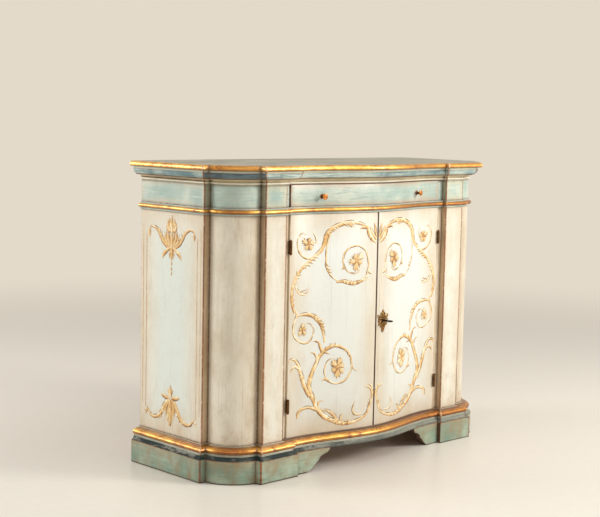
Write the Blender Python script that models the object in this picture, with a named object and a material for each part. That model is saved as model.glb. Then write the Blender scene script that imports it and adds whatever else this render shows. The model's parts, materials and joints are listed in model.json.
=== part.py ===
"""A painted credenza with a serpentine front, two bowed doors, one long drawer and canted column corners.

It is modelled as it would come apart on a bench. The plinth, the base moulding, the case, the cornice
and the top stand on each other. The doors hang on butt hinges and the drawer slides on a dust board.

Run it with: blender --background --python part.py, or from the text editor.
Metres, +Z up, the front faces -Y. The origin lies on the floor under the middle of the overall box.
"""

import math

import bmesh
import bpy
from mathutils import Vector
from mathutils.geometry import delaunay_2d_cdt

# Fits
FIT = 0.0003  # left between pieces that touch
RUN = 0.0010  # left between pieces that slide or swing past each other
OVERRUN = 0.0050  # how far a cutter runs past the face that it opens
MERGE_DISTANCE = 0.00001  # points nearer to each other than this are one point
TRIANGULATION_TOLERANCE = 0.000001

# Plan of the case
CASE_HALF_WIDTH = 0.588  # middle plane to the outer face of a side
CASE_DEPTH = 0.440  # face of the stiles to the back
CORNER_INSET = 0.131  # what a corner column takes off the side and off the front
COLUMN_RADIUS = 0.088
SIDE_THICKNESS = 0.0238
STILE_WIDTH = 0.086
STILE_THICKNESS = 0.045
STEP_DEPTH = 0.0185  # the hinge strip lies this far behind the face of the stile
STRIP_WIDTH = 0.0255  # from the stile's step to the opening
BOW_RISE = 0.0324  # the middle of the front stands this far before the stiles
BOW_FALL = 0.0135  # its two ends lie this far behind them
BOW_MARGIN = 0.0050  # the bow ends this far inside the widest moulding's step

# Heights, from the floor up
PLINTH_HEIGHT = 0.0715
BASE_HEIGHT = 0.040
DOOR_ZONE_HEIGHT = 0.698
WAIST_HEIGHT = 0.0225
DRAWER_ZONE_HEIGHT = 0.068
CORNICE_HEIGHT = 0.037
TOP_THICKNESS = 0.024

# Frames and boards
PLINTH_OUT = 0.0345  # the plinth stands this far outside the case
FRAME_SIDE_WIDTH = 0.058  # the base and cornice frames reach this far in from the sides
FRAME_FRONT_DEPTH = 0.070  # and this far back from the stiles
COLUMN_LAND = 0.030  # a column backs its side panel for this length
BACK_THICKNESS = 0.012
BACK_RAIL_THICKNESS = 0.020
BOARD_THICKNESS = 0.018
SHELF_HEIGHT = 0.3485  # case bottom to the underside of the shelf
SHELF_SETBACK = 0.075
SHELF_HOUSING = 0.006  # the shelf stands this deep in a groove of each side panel
RAIL_DEPTH = 0.060
RAIL_LIP = 0.0245  # the doors close against this much of the waist rail

# Base moulding, as offsets from the case and rises from the plinth
COVE_RISE = 0.0155
COVE_TOP_OUT = 0.0240
TORUS_OUT = 0.0260
TORUS_FOOT_RISE = 0.0205
TORUS_HEIGHT = 0.0180
BASE_FILLET_OUT = 0.0040

# Waist moulding
WAIST_FILLET_OUT = 0.0050
WAIST_FILLET_HEIGHT = 0.0050
WAIST_BEAD_OUT = 0.0130
WAIST_BEAD_HEIGHT = 0.0130
WAIST_CAP_OUT = 0.0035

# Cornice, as offsets from the case and heights of its members
CORNICE_QUIRK_OUT = 0.0020
CORNICE_QUIRK_HEIGHT = 0.0030
CORNICE_BEAD_OUT = 0.0070
CORNICE_BEAD_HEIGHT = 0.0060
CORNICE_COVE_OUT = 0.0190
CORNICE_COVE_HEIGHT = 0.0100
CORNICE_LIST_OUT = 0.0217
CORNICE_LIST_HEIGHT = 0.0020
CORNICE_OVOLO_OUT = 0.0325

# Edge of the top
TOP_FILLET_OUT = 0.0340
TOP_FILLET_HEIGHT = 0.0070
TOP_NOSE_ROOT_OUT = 0.0370
TOP_NOSE_OUT = 0.0476
TOP_NOSE_RISE = 0.0055  # from the fillet to the tip of the nose
TOP_ARRIS_OUT = 0.0356

# Plinth
PLINTH_BLOCK_DEPTH = 0.060
BRACKET_THICKNESS = 0.022
BRACKET_LENGTH = 0.1375

# Lower edge of a bracket foot, from its block to its tip: shares of its length and of the plinth's height
BRACKET_SHARES = [
    (0.00, 0.00),
    (0.34, 0.00),
    (0.43, 0.05),
    (0.50, 0.14),
    (0.57, 0.26),
    (0.63, 0.38),
    (0.70, 0.47),
    (0.73, 0.61),
    (0.82, 0.71),
    (0.94, 0.79),
    (1.00, 0.93),
]

# Doors
DOOR_THICKNESS = 0.020
DOOR_SIDE_GAP = 0.0020
DOOR_MEETING_GAP = 0.0015

# Hinges
HINGE_HEIGHT = 0.042
HINGE_INSET = 0.100  # top or bottom of the door to the middle of a hinge
HINGE_PROUD = 0.0005  # the knuckles stand this far clear of the door's face
KNUCKLE_RADIUS = 0.0045
KNUCKLE_COUNT = 3
LEAF_THICKNESS = 0.0012
LEAF_REACH = 0.024
PIN_RADIUS = 0.0018
PIN_HEAD_RADIUS = 0.0034
PIN_HEAD_HEIGHT = 0.0026

# Drawer
DRAWER_FRONT_THICKNESS = 0.020
DRAWER_FRONT_GAP = 0.0025
DRAWER_SIDE_GAP = 0.0050
DRAWER_SIDE_THICKNESS = 0.012
DRAWER_SIDE_HEIGHT = 0.056
DRAWER_BOTTOM_THICKNESS = 0.006
DRAWER_BOTTOM_RISE = 0.0045
DRAWER_BACK_HEIGHT = 0.042
DRAWER_BACK_GAP = 0.020  # left behind the drawer, before the back panel
GUIDE_WIDTH = 0.020
GUIDE_HEIGHT = 0.020
GUIDE_GAP = 0.0015
KICKER_WIDTH = 0.040

# Knobs
KNOB_SPACING = 0.440
KNOB_DROP = 0.004  # a knob's middle stands this far under the middle of the drawer front
KNOB_ROSE_RADIUS = 0.0080
KNOB_ROSE_THICKNESS = 0.0022
KNOB_NECK_RADIUS = 0.0038
KNOB_NECK_LENGTH = 0.0085
KNOB_HEAD_RADIUS = 0.0095
KNOB_HEAD_LENGTH = 0.0090
KNOB_TIP_RADIUS = 0.0022
KNOB_STEM_RADIUS = 0.0025
KNOB_STEM_LENGTH = 0.016
KNOB_SEAT_GAP = 0.0006  # more than the usual fit, as the rose is flat and the face bowed
KNOB_NECK_SWELL_SHARE = 1.35  # the neck's radius at the rose, as a share of its least one

# Outline of a knob's head, from the neck to the tip: shares of its length and of its radius
KNOB_HEAD_SHARES = [(0.00, 0.50), (0.28, 0.76), (0.56, 0.97), (0.68, 1.00), (0.80, 0.93), (0.90, 0.62)]

# Lock, key and escutcheon on the right door
LOCK_X = 0.034
LOCK_RISE = 0.3435  # case bottom to the keyhole
LOCK_HALF_WIDTH = 0.030
LOCK_HALF_HEIGHT = 0.030
LOCK_DEPTH = 0.014
LOCK_WALL = 0.0015
LOCK_MORTISE = 0.0030  # the lock is let into the back of the door by this much
LOCK_BOLT_RISE = 0.0145
LOCK_BOLT_HEIGHT = 0.0080
LOCK_BOLT_THICKNESS = 0.0050
LOCK_BOLT_LENGTH = 0.044
LOCK_BOLT_SETBACK = 0.0043  # mortise floor to the bolt
LOCK_BOLT_INSET = 0.0025  # middle plane to the bolt's end when it is drawn back
KEYHOLE_RADIUS = 0.0032
KEYHOLE_SLOT_WIDTH = 0.0032
KEY_STEM_RADIUS = 0.0025
KEY_PROJECTION = 0.042
KEY_TAIL = 0.0105  # the stem reaches this far behind the mortise floor
KEY_BIT_REACH = 0.0090
KEY_BIT_THICKNESS = 0.0020
KEY_BIT_WIDTH = 0.0060
KEY_BOW_RADIUS = 0.0085
KEY_BOW_WIRE_RADIUS = 0.0022
KEY_COLLAR_RADIUS = 0.0036
KEY_COLLAR_LENGTH = 0.0030
ESCUTCHEON_HALF_WIDTH = 0.0270
ESCUTCHEON_HALF_HEIGHT = 0.0400
ESCUTCHEON_THICKNESS = 0.0015
STAPLE_LENGTH = 0.018
STAPLE_INSET = 0.006
STAPLE_WALL = 0.0020

# Right half of the plate's leafy outline, from its upper point to its lower one: shares of its half sizes
ESCUTCHEON_SHARES = [
    (0.00, 0.87),
    (0.11, 0.80),
    (0.17, 0.69),
    (0.14, 0.60),
    (0.24, 0.60),
    (0.36, 0.66),
    (0.46, 0.59),
    (0.44, 0.47),
    (0.36, 0.38),
    (0.42, 0.31),
    (0.56, 0.35),
    (0.72, 0.44),
    (0.88, 0.50),
    (0.99, 0.44),
    (0.95, 0.30),
    (0.84, 0.18),
    (0.87, 0.08),
    (0.90, -0.03),
    (0.85, -0.13),
    (0.75, -0.20),
    (0.81, -0.29),
    (0.78, -0.39),
    (0.66, -0.44),
    (0.53, -0.41),
    (0.42, -0.46),
    (0.40, -0.56),
    (0.32, -0.62),
    (0.26, -0.70),
    (0.27, -0.80),
    (0.19, -0.88),
    (0.10, -0.95),
    (0.00, -1.00),
]

# Leaves pierced in the same half: shares of the half sizes for the middle, then for the reach each way
ESCUTCHEON_LEAF_SHARES = [
    (0.19, 0.45, 0.08, 0.09),
    (0.74, 0.33, 0.11, 0.06),
    (0.66, 0.03, 0.12, 0.07),
    (0.57, -0.26, 0.11, 0.06),
    (0.24, -0.49, 0.07, 0.06),
    (0.13, -0.75, 0.04, 0.08),
]

# Slide bolts on the back of the left door
SLIDE_BOLT_X = 0.022
SLIDE_BOLT_RADIUS = 0.0030
SLIDE_BOLT_LENGTH = 0.075
SLIDE_BOLT_CLEARANCE = 0.0020  # the drawn bolt stops this far short of its hole
SLIDE_BOLT_SINK = 0.0095  # how far the shot bolt stands in its hole
GUIDE_PLATE_LENGTH = 0.056
GUIDE_PLATE_WIDTH = 0.016
GUIDE_PLATE_THICKNESS = 0.0015
GUIDE_LOOP_HEIGHT = 0.0080
THUMB_RADIUS = 0.0024
THUMB_LENGTH = 0.0110

# Counts of facets
COLUMN_STEPS = 10
BOW_STEPS = 12  # from the middle of the bow to one end
CURVE_STEPS = 5  # along one curved member of a moulding
ROUND_STEPS = 20
SMALL_ROUND_STEPS = 14
WIRE_STEPS = 8
SMOOTH_DEGREES = 35  # edges sharper than this stay sharp
LEAF_STEPS = 10

# Heights of the joints between the layers
BASE_Z = PLINTH_HEIGHT
CASE_Z = BASE_Z + BASE_HEIGHT
WAIST_Z = CASE_Z + DOOR_ZONE_HEIGHT
DRAWER_Z = WAIST_Z + WAIST_HEIGHT
CORNICE_Z = DRAWER_Z + DRAWER_ZONE_HEIGHT
TOP_Z = CORNICE_Z + CORNICE_HEIGHT
OVERALL_HEIGHT = TOP_Z + TOP_THICKNESS

# Lines of the plan
STILE_Y = (BOW_RISE + TOP_NOSE_OUT - CASE_DEPTH) / 2
BACK_Y = STILE_Y + CASE_DEPTH
CORNER_Y = STILE_Y + CORNER_INSET
STRIP_Y = STILE_Y + STEP_DEPTH
STILE_BACK_Y = STILE_Y + STILE_THICKNESS
STILE_OUTER_X = CASE_HALF_WIDTH - CORNER_INSET
STILE_STEP_X = STILE_OUTER_X - STILE_WIDTH
OPENING_X = STILE_STEP_X - STRIP_WIDTH
SIDE_INNER_X = CASE_HALF_WIDTH - SIDE_THICKNESS
BOW_HALF_WIDTH = STILE_STEP_X - TOP_NOSE_OUT - BOW_MARGIN
BOW_STATION = BOW_HALF_WIDTH / BOW_STEPS
FRAME_INNER_X = CASE_HALF_WIDTH - FRAME_SIDE_WIDTH
FRAME_INNER_Y = STILE_Y + FRAME_FRONT_DEPTH

# Axis of the columns: equally far from the end of the side panel and from the edge of the stile
COLUMN_HALF_CHORD = (CORNER_INSET - SIDE_THICKNESS) / math.sqrt(2)
COLUMN_REACH = math.sqrt((COLUMN_RADIUS**2 - COLUMN_HALF_CHORD**2) / 2)
COLUMN_X = CASE_HALF_WIDTH - (CORNER_INSET + SIDE_THICKNESS) / 2 - COLUMN_REACH
COLUMN_Y = STILE_Y + (CORNER_INSET + SIDE_THICKNESS) / 2 + COLUMN_REACH

# Hinge axis, and the fittings that sit on the doors
DOOR_EDGE_X = OPENING_X - DOOR_SIDE_GAP
HINGE_X = OPENING_X - DOOR_SIDE_GAP / 2
HINGE_Y = STILE_Y + BOW_FALL - HINGE_PROUD - KNUCKLE_RADIUS
DOOR_BOTTOM_Z = CASE_Z + RUN
DOOR_TOP_Z = WAIST_Z - RUN
LOCK_Z = CASE_Z + LOCK_RISE
LIP_Z = WAIST_Z - RAIL_LIP
BOTTOM_BOARD_TOP_Z = CASE_Z + FIT + BOARD_THICKNESS

# Finishes: colour, roughness, metallic
CREAM = ((0.86, 0.82, 0.72), 0.45, 0.0)
SEA_GREEN = ((0.50, 0.62, 0.56), 0.45, 0.0)
PLINTH_GREEN = ((0.33, 0.44, 0.38), 0.50, 0.0)
GILT = ((0.80, 0.45, 0.12), 0.35, 0.9)
SLATE = ((0.30, 0.42, 0.45), 0.45, 0.0)
RAW_WOOD = ((0.42, 0.29, 0.17), 0.60, 0.0)
OLD_BRASS = ((0.42, 0.28, 0.10), 0.40, 1.0)
DARK_IRON = ((0.08, 0.07, 0.06), 0.50, 0.9)


def clear_scene():
    for obj in list(bpy.data.objects):
        bpy.data.objects.remove(obj, do_unlink=True)


def paint(obj, finish):
    colour, roughness, metallic = finish
    material = bpy.data.materials.new(obj.name + "_finish")
    material.use_nodes = True
    shader = material.node_tree.nodes["Principled BSDF"]
    shader.inputs["Base Color"].default_value = (*colour, 1)
    shader.inputs["Roughness"].default_value = roughness
    shader.inputs["Metallic"].default_value = metallic
    material.diffuse_color = (*colour, 1)
    obj.data.materials.append(material)


def place_of(obj):
    """Where an object's origin lies in the world. Nothing here is turned or scaled, so locations add up."""
    return obj.location + place_of(obj.parent) if obj.parent else obj.location.copy()


def joint_frame(name, place, parent=None):
    """An empty on a joint's axis. What moves with the joint is parented to it."""
    empty = bpy.data.objects.new(name, None)
    empty.location = Vector(place)
    if parent:
        empty.parent = parent
        empty.location -= place_of(parent)
    bpy.context.scene.collection.objects.link(empty)
    return empty


def object_from(name, bm, parent=None, origin=None):
    """Turns a mesh made in world coordinates into an object with its origin where it is asked for."""
    bmesh.ops.remove_doubles(bm, verts=bm.verts, dist=MERGE_DISTANCE)
    bmesh.ops.recalc_face_normals(bm, faces=bm.faces)
    if origin is None:
        origin = place_of(parent) if parent else (0, 0, 0)
    origin = Vector(origin)
    bmesh.ops.translate(bm, verts=bm.verts, vec=-origin)
    mesh = bpy.data.meshes.new(name)
    bm.to_mesh(mesh)
    bm.free()
    obj = bpy.data.objects.new(name, mesh)
    bpy.context.scene.collection.objects.link(obj)
    if parent:
        obj.parent = parent
        origin = origin - place_of(parent)
    obj.location = origin
    return obj


def add_sections(bm, sections, wrap=False):
    """Skins closed sections of equal length, one after another. It caps the ends unless they wrap round."""
    rings = [[bm.verts.new(point) for point in section] for section in sections]
    pairs = list(zip(rings, rings[1:]))
    if wrap:
        pairs.append((rings[-1], rings[0]))
    for one, other in pairs:
        for here in range(len(one)):
            there = (here + 1) % len(one)
            bm.faces.new((one[here], one[there], other[there], other[here]))
    if not wrap:
        bm.faces.new(rings[0])
        bm.faces.new(reversed(rings[-1]))


def box_sections(low, high):
    (x0, y0, z0), (x1, y1, z1) = low, high
    return [[(x0, y0, z), (x1, y0, z), (x1, y1, z), (x0, y1, z)] for z in (z0, z1)]


def prism_sections(outline, z0, z1):
    return [[(x, y, z) for x, y in outline] for z in (z0, z1)]


def turned_sections(profile, base, direction, steps):
    """Circles of each (radius, distance along the axis) of the profile."""
    along = Vector(direction).normalized()
    across = along.orthogonal().normalized()
    third = along.cross(across)
    sections = []
    for radius, distance in profile:
        turns = [2 * math.pi * step / steps for step in range(steps)]
        middle = Vector(base) + along * distance
        sections.append([middle + (across * math.cos(t) + third * math.sin(t)) * radius for t in turns])
    return sections


def build(name, parts, finish, parent=None, origin=None):
    """One object from one or several separate lists of sections."""
    bm = bmesh.new()
    for sections in parts:
        add_sections(bm, sections)
    obj = object_from(name, bm, parent, origin)
    paint(obj, finish)
    return obj


def helper(target, parts, operation, wrap=False):
    """Joins hidden shapes to an object, or cuts them from it. They move with what it is parented to."""
    bm = bmesh.new()
    for sections in parts:
        add_sections(bm, sections, wrap)
    name = f"{target.name}_{operation.lower()}_{len(target.modifiers)}"
    shape = object_from(name, bm, target.parent)
    shape.hide_render = True
    shape.display_type = "WIRE"
    modifier = target.modifiers.new(operation.title(), "BOOLEAN")
    modifier.operation = operation
    modifier.object = shape
    modifier.solver = "EXACT"


def cut(target, parts):
    helper(target, parts, "DIFFERENCE")


def join(target, parts, wrap=False):
    helper(target, parts, "UNION", wrap)


def smooth(obj):
    obj.data.shade_smooth()
    obj.data.set_sharp_from_angle(angle=math.radians(SMOOTH_DEGREES))


def bow_y(x):
    """The serpentine line of the front: highest in the middle, and flat again from the ends of the bow."""
    share = min(abs(x), BOW_HALF_WIDTH) / BOW_HALF_WIDTH
    return STILE_Y - BOW_RISE + (BOW_RISE + BOW_FALL) * (1 - math.cos(math.pi * share)) / 2


def bow_stations(x0, x1):
    """The places along the front where every bowed piece has a facet's edge, from x0 to x1."""
    inside = [step * BOW_STATION for step in range(-BOW_STEPS, BOW_STEPS + 1)]
    return [x0] + [x for x in inside if x0 + FIT < x < x1 - FIT] + [x1]


def column_arc(offset, trim=0):
    """The face of the left column, moved out by offset, from the side to the front.

    It runs between the end of the side panel and the edge of the stile, less the trim at each."""
    radius = COLUMN_RADIUS + offset
    rise = CORNER_Y - offset - trim - COLUMN_Y
    run = COLUMN_X - STILE_OUTER_X - offset - trim
    first = math.atan2(rise, -math.sqrt(radius**2 - rise**2)) % (2 * math.pi)
    last = math.atan2(-math.sqrt(radius**2 - run**2), run) % (2 * math.pi)
    turns = [first + (last - first) * step / COLUMN_STEPS for step in range(COLUMN_STEPS + 1)]
    return [(radius * math.cos(t) - COLUMN_X, radius * math.sin(t) + COLUMN_Y) for t in turns]


def plan_path(offset):
    """The outline of the case from the back left corner, round the front, to the back right one."""
    left = [(-CASE_HALF_WIDTH - offset, BACK_Y), (-CASE_HALF_WIDTH - offset, CORNER_Y - offset)]
    left += column_arc(offset)
    left += [(-STILE_OUTER_X - offset, STILE_Y - offset), (offset - STILE_STEP_X, STILE_Y - offset)]
    end = STILE_STEP_X - offset
    front = [(x, bow_y(x) - offset) for x in [-end, *bow_stations(-BOW_HALF_WIDTH, BOW_HALF_WIDTH), end]]
    return left + front + [(-x, y) for x, y in reversed(left)]


def frame_path():
    """The inner edge of the base and cornice frames, with one point for each point of plan_path."""
    return [
        (max(-FRAME_INNER_X, min(FRAME_INNER_X, x)), max(FRAME_INNER_Y, y)) for x, y in plan_path(0)
    ]


def moulding_sections(profile):
    """A moulding's profile carried round the case. An offset of None stands for the frame's inner edge."""
    rings = [(frame_path() if out is None else plan_path(out), z) for out, z in profile]
    return [[(*path[place], z) for path, z in rings] for place in range(len(rings[0][0]))]


def slab_sections(profile):
    """A board with a moulded edge, filled across to the back."""
    return [[(x, y, z) for x, y in plan_path(out)] for out, z in profile]


def quarter(start, end, hollow=False):
    """The points of a quarter of an ellipse between two points, without the first one.

    It leaves the first point upright and reaches the last one level, or hollow, the other way round."""
    (out0, z0), (out1, z1) = start, end
    points = []
    for step in range(1, CURVE_STEPS + 1):
        turn = math.pi / 2 * step / CURVE_STEPS
        level, upright = 1 - math.cos(turn), math.sin(turn)
        if hollow:
            level, upright = upright, level
        points.append((out0 + (out1 - out0) * level, z0 + (z1 - z0) * upright))
    return points


def base_profile():
    plinth_edge = (PLINTH_OUT, BASE_Z + FIT)
    cove_top = (COVE_TOP_OUT, BASE_Z + COVE_RISE)
    torus_foot = (TORUS_OUT, BASE_Z + TORUS_FOOT_RISE)
    torus_top = (BASE_FILLET_OUT, BASE_Z + TORUS_FOOT_RISE + TORUS_HEIGHT)
    profile = [plinth_edge, *quarter(plinth_edge, cove_top, hollow=True)]
    profile += [(TORUS_OUT, BASE_Z + COVE_RISE), torus_foot, *quarter(torus_foot, torus_top)]
    return profile + [(BASE_FILLET_OUT, CASE_Z), (None, CASE_Z), (None, BASE_Z + FIT)]


def waist_profile():
    fillet_top = (WAIST_FILLET_OUT, WAIST_Z + WAIST_FILLET_HEIGHT)
    bead_middle = (WAIST_BEAD_OUT, WAIST_Z + WAIST_FILLET_HEIGHT + WAIST_BEAD_HEIGHT / 2)
    bead_top = (WAIST_CAP_OUT, WAIST_Z + WAIST_FILLET_HEIGHT + WAIST_BEAD_HEIGHT)
    profile = [(FIT, WAIST_Z), (WAIST_FILLET_OUT, WAIST_Z), fillet_top]
    profile += [*quarter(fillet_top, bead_middle, hollow=True), *quarter(bead_middle, bead_top)]
    return profile + [(WAIST_CAP_OUT, DRAWER_Z), (FIT, DRAWER_Z)]


def cornice_profile():
    quirk_z = CORNICE_Z + CORNICE_QUIRK_HEIGHT
    bead_z = quirk_z + CORNICE_BEAD_HEIGHT
    cove_z = bead_z + CORNICE_COVE_HEIGHT
    list_z = cove_z + CORNICE_LIST_HEIGHT
    bead_foot = (CORNICE_QUIRK_OUT, quirk_z)
    bead_middle = (CORNICE_BEAD_OUT, quirk_z + CORNICE_BEAD_HEIGHT / 2)
    bead_top = (CORNICE_QUIRK_OUT, bead_z)
    profile = [(CORNICE_QUIRK_OUT, CORNICE_Z), bead_foot]
    profile += [*quarter(bead_foot, bead_middle, hollow=True), *quarter(bead_middle, bead_top)]
    profile += [*quarter((CORNICE_QUIRK_OUT, bead_z), (CORNICE_COVE_OUT, cove_z))]
    profile += [(CORNICE_LIST_OUT, cove_z), (CORNICE_LIST_OUT, list_z)]
    profile += [*quarter((CORNICE_LIST_OUT, list_z), (CORNICE_OVOLO_OUT, TOP_Z), hollow=True)]
    return profile + [(None, TOP_Z), (None, CORNICE_Z)]


def top_profile():
    fillet_z = TOP_Z + TOP_FILLET_HEIGHT
    nose_z = fillet_z + TOP_NOSE_RISE
    nose = (TOP_NOSE_OUT, nose_z)
    profile = [(TOP_FILLET_OUT, TOP_Z + FIT), (TOP_FILLET_OUT, fillet_z), (TOP_NOSE_ROOT_OUT, fillet_z)]
    profile += [*quarter((TOP_NOSE_ROOT_OUT, fillet_z), nose, hollow=True)]
    return profile + [*quarter(nose, (TOP_ARRIS_OUT, OVERALL_HEIGHT))]


def band_sections(profile, x0, x1, offset=0):
    """A strip of the bowed front. Its profile is given as (depth behind the face, height)."""
    return [[(x, bow_y(x) - offset + depth, z) for depth, z in profile] for x in bow_stations(x0, x1)]


def rectangle(depth0, depth1, z0, z1):
    return [(depth0, z0), (depth1, z0), (depth1, z1), (depth0, z1)]


def mirrored(outline, side):
    return [(side * x, y) for x, y in outline]


def side_name(side):
    return "right" if side > 0 else "left"


def column_outline(offset, stile_land):
    """A column block of the left corner. Its back runs straight from the side to the stile."""
    side_x = -column_side_x(offset)
    stile_x = -STILE_OUTER_X - offset - FIT
    arc = column_arc(offset, FIT)
    lands = [(stile_x, STILE_Y - offset + stile_land), (side_x, CORNER_Y - offset + COLUMN_LAND)]
    return [*arc, *lands, (side_x, CORNER_Y - offset - FIT)]


def column_side_x(offset):
    """Where the column meets the inner face of the side."""
    return -column_arc(offset)[0][0] - FIT


def column_back_y(x):
    """The back of the case's left column at x, with the gap that a board keeps to it."""
    stile_x = -STILE_OUTER_X - FIT
    side_x = -SIDE_INNER_X + FIT
    slope = (CORNER_Y + COLUMN_LAND - STILE_BACK_Y) / (side_x - stile_x)
    return STILE_BACK_Y + slope * (x - stile_x) + FIT * math.sqrt(1 + slope**2)


def column_back_x(y):
    """Where the line of column_back_y reaches y."""
    stile_x = -STILE_OUTER_X - FIT
    side_x = -SIDE_INNER_X + FIT
    slope = (CORNER_Y + COLUMN_LAND - STILE_BACK_Y) / (side_x - stile_x)
    return stile_x + (y - STILE_BACK_Y - FIT * math.sqrt(1 + slope**2)) / slope


def board_outline(front_depth, notch_x):
    """A board that fills the case and runs to front_depth behind the bowed face between the stiles."""
    side_x = -SIDE_INNER_X + FIT
    stile_y = STILE_BACK_Y + FIT
    back_y = BACK_Y - BACK_THICKNESS - FIT
    left = [(side_x, back_y), (side_x, column_back_y(side_x)), (column_back_x(stile_y), stile_y)]
    left += [(-notch_x, stile_y)]
    front = [(x, bow_y(x) + front_depth) for x in bow_stations(-notch_x, notch_x)]
    return left + front + [(-x, y) for x, y in reversed(left)]


def shelf_outline():
    """A board with a straight front, clear of the doors. Its ends stand in the grooves of the sides."""
    side_x = -SIDE_INNER_X + FIT
    end_x = -SIDE_INNER_X - SHELF_HOUSING
    groove_y = CORNER_Y + COLUMN_LAND + FIT
    front_y = STILE_Y + SHELF_SETBACK
    back_y = BACK_Y - BACK_THICKNESS - FIT
    left = [(end_x, back_y), (end_x, groove_y), (side_x, groove_y), (side_x, column_back_y(side_x))]
    left += [(column_back_x(front_y), front_y)]
    return left + [(-x, y) for x, y in reversed(left)]


def shelf_groove(side):
    """The housing of the shelf's end, from the column to the back panel."""
    shelf_z = CASE_Z + SHELF_HEIGHT
    low = (side * (SIDE_INNER_X - OVERRUN), CORNER_Y + COLUMN_LAND, shelf_z - FIT)
    groove_x = SIDE_INNER_X + SHELF_HOUSING + FIT
    return box_sections(low, (side * groove_x, BACK_Y - BACK_THICKNESS, shelf_z + BOARD_THICKNESS + FIT))


def hinge_middles():
    return [DOOR_BOTTOM_Z + HINGE_INSET, DOOR_TOP_Z - HINGE_INSET]


def build_plinth():
    top = BASE_Z - FIT
    side_x = CASE_HALF_WIDTH + PLINTH_OUT
    inner_x = column_side_x(PLINTH_OUT) + FIT
    block_x0 = STILE_STEP_X - PLINTH_OUT
    block_x1 = STILE_OUTER_X + PLINTH_OUT
    front_y = STILE_Y - PLINTH_OUT
    for side in (-1, 1):
        name = side_name(side)
        low, high = (side * inner_x, CORNER_Y - PLINTH_OUT, 0), (side * side_x, BACK_Y, top)
        build(f"{name}_plinth_side", [box_sections(low, high)], PLINTH_GREEN)
        outline = mirrored(column_outline(PLINTH_OUT, PLINTH_BLOCK_DEPTH), -side)
        smooth(build(f"{name}_plinth_corner", [prism_sections(outline, 0, top)], PLINTH_GREEN))
        low, high = (side * block_x0, front_y, 0), (side * block_x1, front_y + PLINTH_BLOCK_DEPTH, top)
        build(f"{name}_plinth_block", [box_sections(low, high)], PLINTH_GREEN)
        build_bracket(name, side, block_x0 - FIT, top)


def build_bracket(name, side, root_x, top):
    """A shaped bracket foot on the bowed front, beside its block."""
    sections = []
    for length_share, height_share in BRACKET_SHARES:
        x = side * (root_x - length_share * BRACKET_LENGTH)
        y = bow_y(x) - PLINTH_OUT
        back_y = y + BRACKET_THICKNESS
        low = height_share * top
        sections.append([(x, y, low), (x, back_y, low), (x, back_y, top), (x, y, top)])
    build(f"{name}_bracket_foot", [sections], PLINTH_GREEN)


def build_frames():
    smooth(build("base_moulding", [moulding_sections(base_profile())], GILT))
    smooth(build("waist_moulding", [moulding_sections(waist_profile())], GILT))
    smooth(build("cornice", [moulding_sections(cornice_profile())], SLATE))
    smooth(build("top_board", [slab_sections(top_profile())], SLATE))
    rail_x = FRAME_INNER_X - FIT
    for name, z0, z1 in (("base_back_rail", BASE_Z, CASE_Z), ("top_back_rail", CORNICE_Z, TOP_Z)):
        low, high = (-rail_x, BACK_Y - BACK_RAIL_THICKNESS, z0 + FIT), (rail_x, BACK_Y, z1 - FIT)
        build(name, [box_sections(low, high)], RAW_WOOD)


def build_case():
    low_z = CASE_Z + FIT
    high_z = CORNICE_Z - FIT
    for side in (-1, 1):
        name = side_name(side)
        low, high = (side * SIDE_INNER_X, CORNER_Y, low_z), (side * CASE_HALF_WIDTH, BACK_Y, high_z)
        panel = build(f"{name}_side_panel", [box_sections(low, high)], CREAM)
        cut(panel, [shelf_groove(side)])
        outline = mirrored(column_outline(0, STILE_THICKNESS), -side)
        smooth(build(f"{name}_corner_column", [prism_sections(outline, low_z, high_z)], CREAM))
        build_stile(name, side, low_z, high_z)
    back_x = SIDE_INNER_X - FIT
    low, high = (-back_x, BACK_Y - BACK_THICKNESS, low_z), (back_x, BACK_Y, high_z)
    build("back_panel", [box_sections(low, high)], RAW_WOOD)
    bottom = board_outline(DOOR_THICKNESS + FIT, OPENING_X - FIT)
    bottom_board = build("bottom_board", [prism_sections(bottom, low_z, BOTTOM_BOARD_TOP_Z)], RAW_WOOD)
    cut(bottom_board, [slide_bolt_hole(BOTTOM_BOARD_TOP_Z, -1)])
    shelf_z = CASE_Z + SHELF_HEIGHT
    build("shelf", [prism_sections(shelf_outline(), shelf_z, shelf_z + BOARD_THICKNESS)], RAW_WOOD)
    profile = waist_rail_profile()
    rail = build("waist_rail", [band_sections(profile, FIT - OPENING_X, OPENING_X - FIT)], RAW_WOOD)
    cut(rail, [slide_bolt_hole(LIP_Z, 1)])
    dust = board_outline(RAIL_DEPTH + FIT, OPENING_X)
    dust_z = DRAWER_Z - FIT
    build("dust_board", [prism_sections(dust, dust_z - BOARD_THICKNESS, dust_z)], RAW_WOOD)


def build_stile(name, side, low_z, high_z):
    """A stile with the rebated strip that carries the hinges."""
    outline = [
        (STILE_OUTER_X, STILE_Y),
        (STILE_STEP_X, STILE_Y),
        (STILE_STEP_X, STRIP_Y),
        (OPENING_X, STRIP_Y),
        (OPENING_X, STILE_BACK_Y),
        (STILE_OUTER_X, STILE_BACK_Y),
    ]
    stile = build(f"{name}_stile", [prism_sections(mirrored(outline, side), low_z, high_z)], CREAM)
    pocket_x = HINGE_X + FIT / 2 + LEAF_THICKNESS + FIT
    cut(stile, [leaf_pocket(side, OPENING_X - OVERRUN, pocket_x, STRIP_Y, z) for z in hinge_middles()])


def leaf_pocket(side, x0, x1, face_y, middle_z):
    """The shallow housing of a hinge leaf, open to the face."""
    half = HINGE_HEIGHT / 2 + FIT
    low = (side * x0, face_y - OVERRUN, middle_z - half)
    high = (side * x1, HINGE_Y + LEAF_REACH + FIT, middle_z + half)
    return box_sections(low, high)


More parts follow.
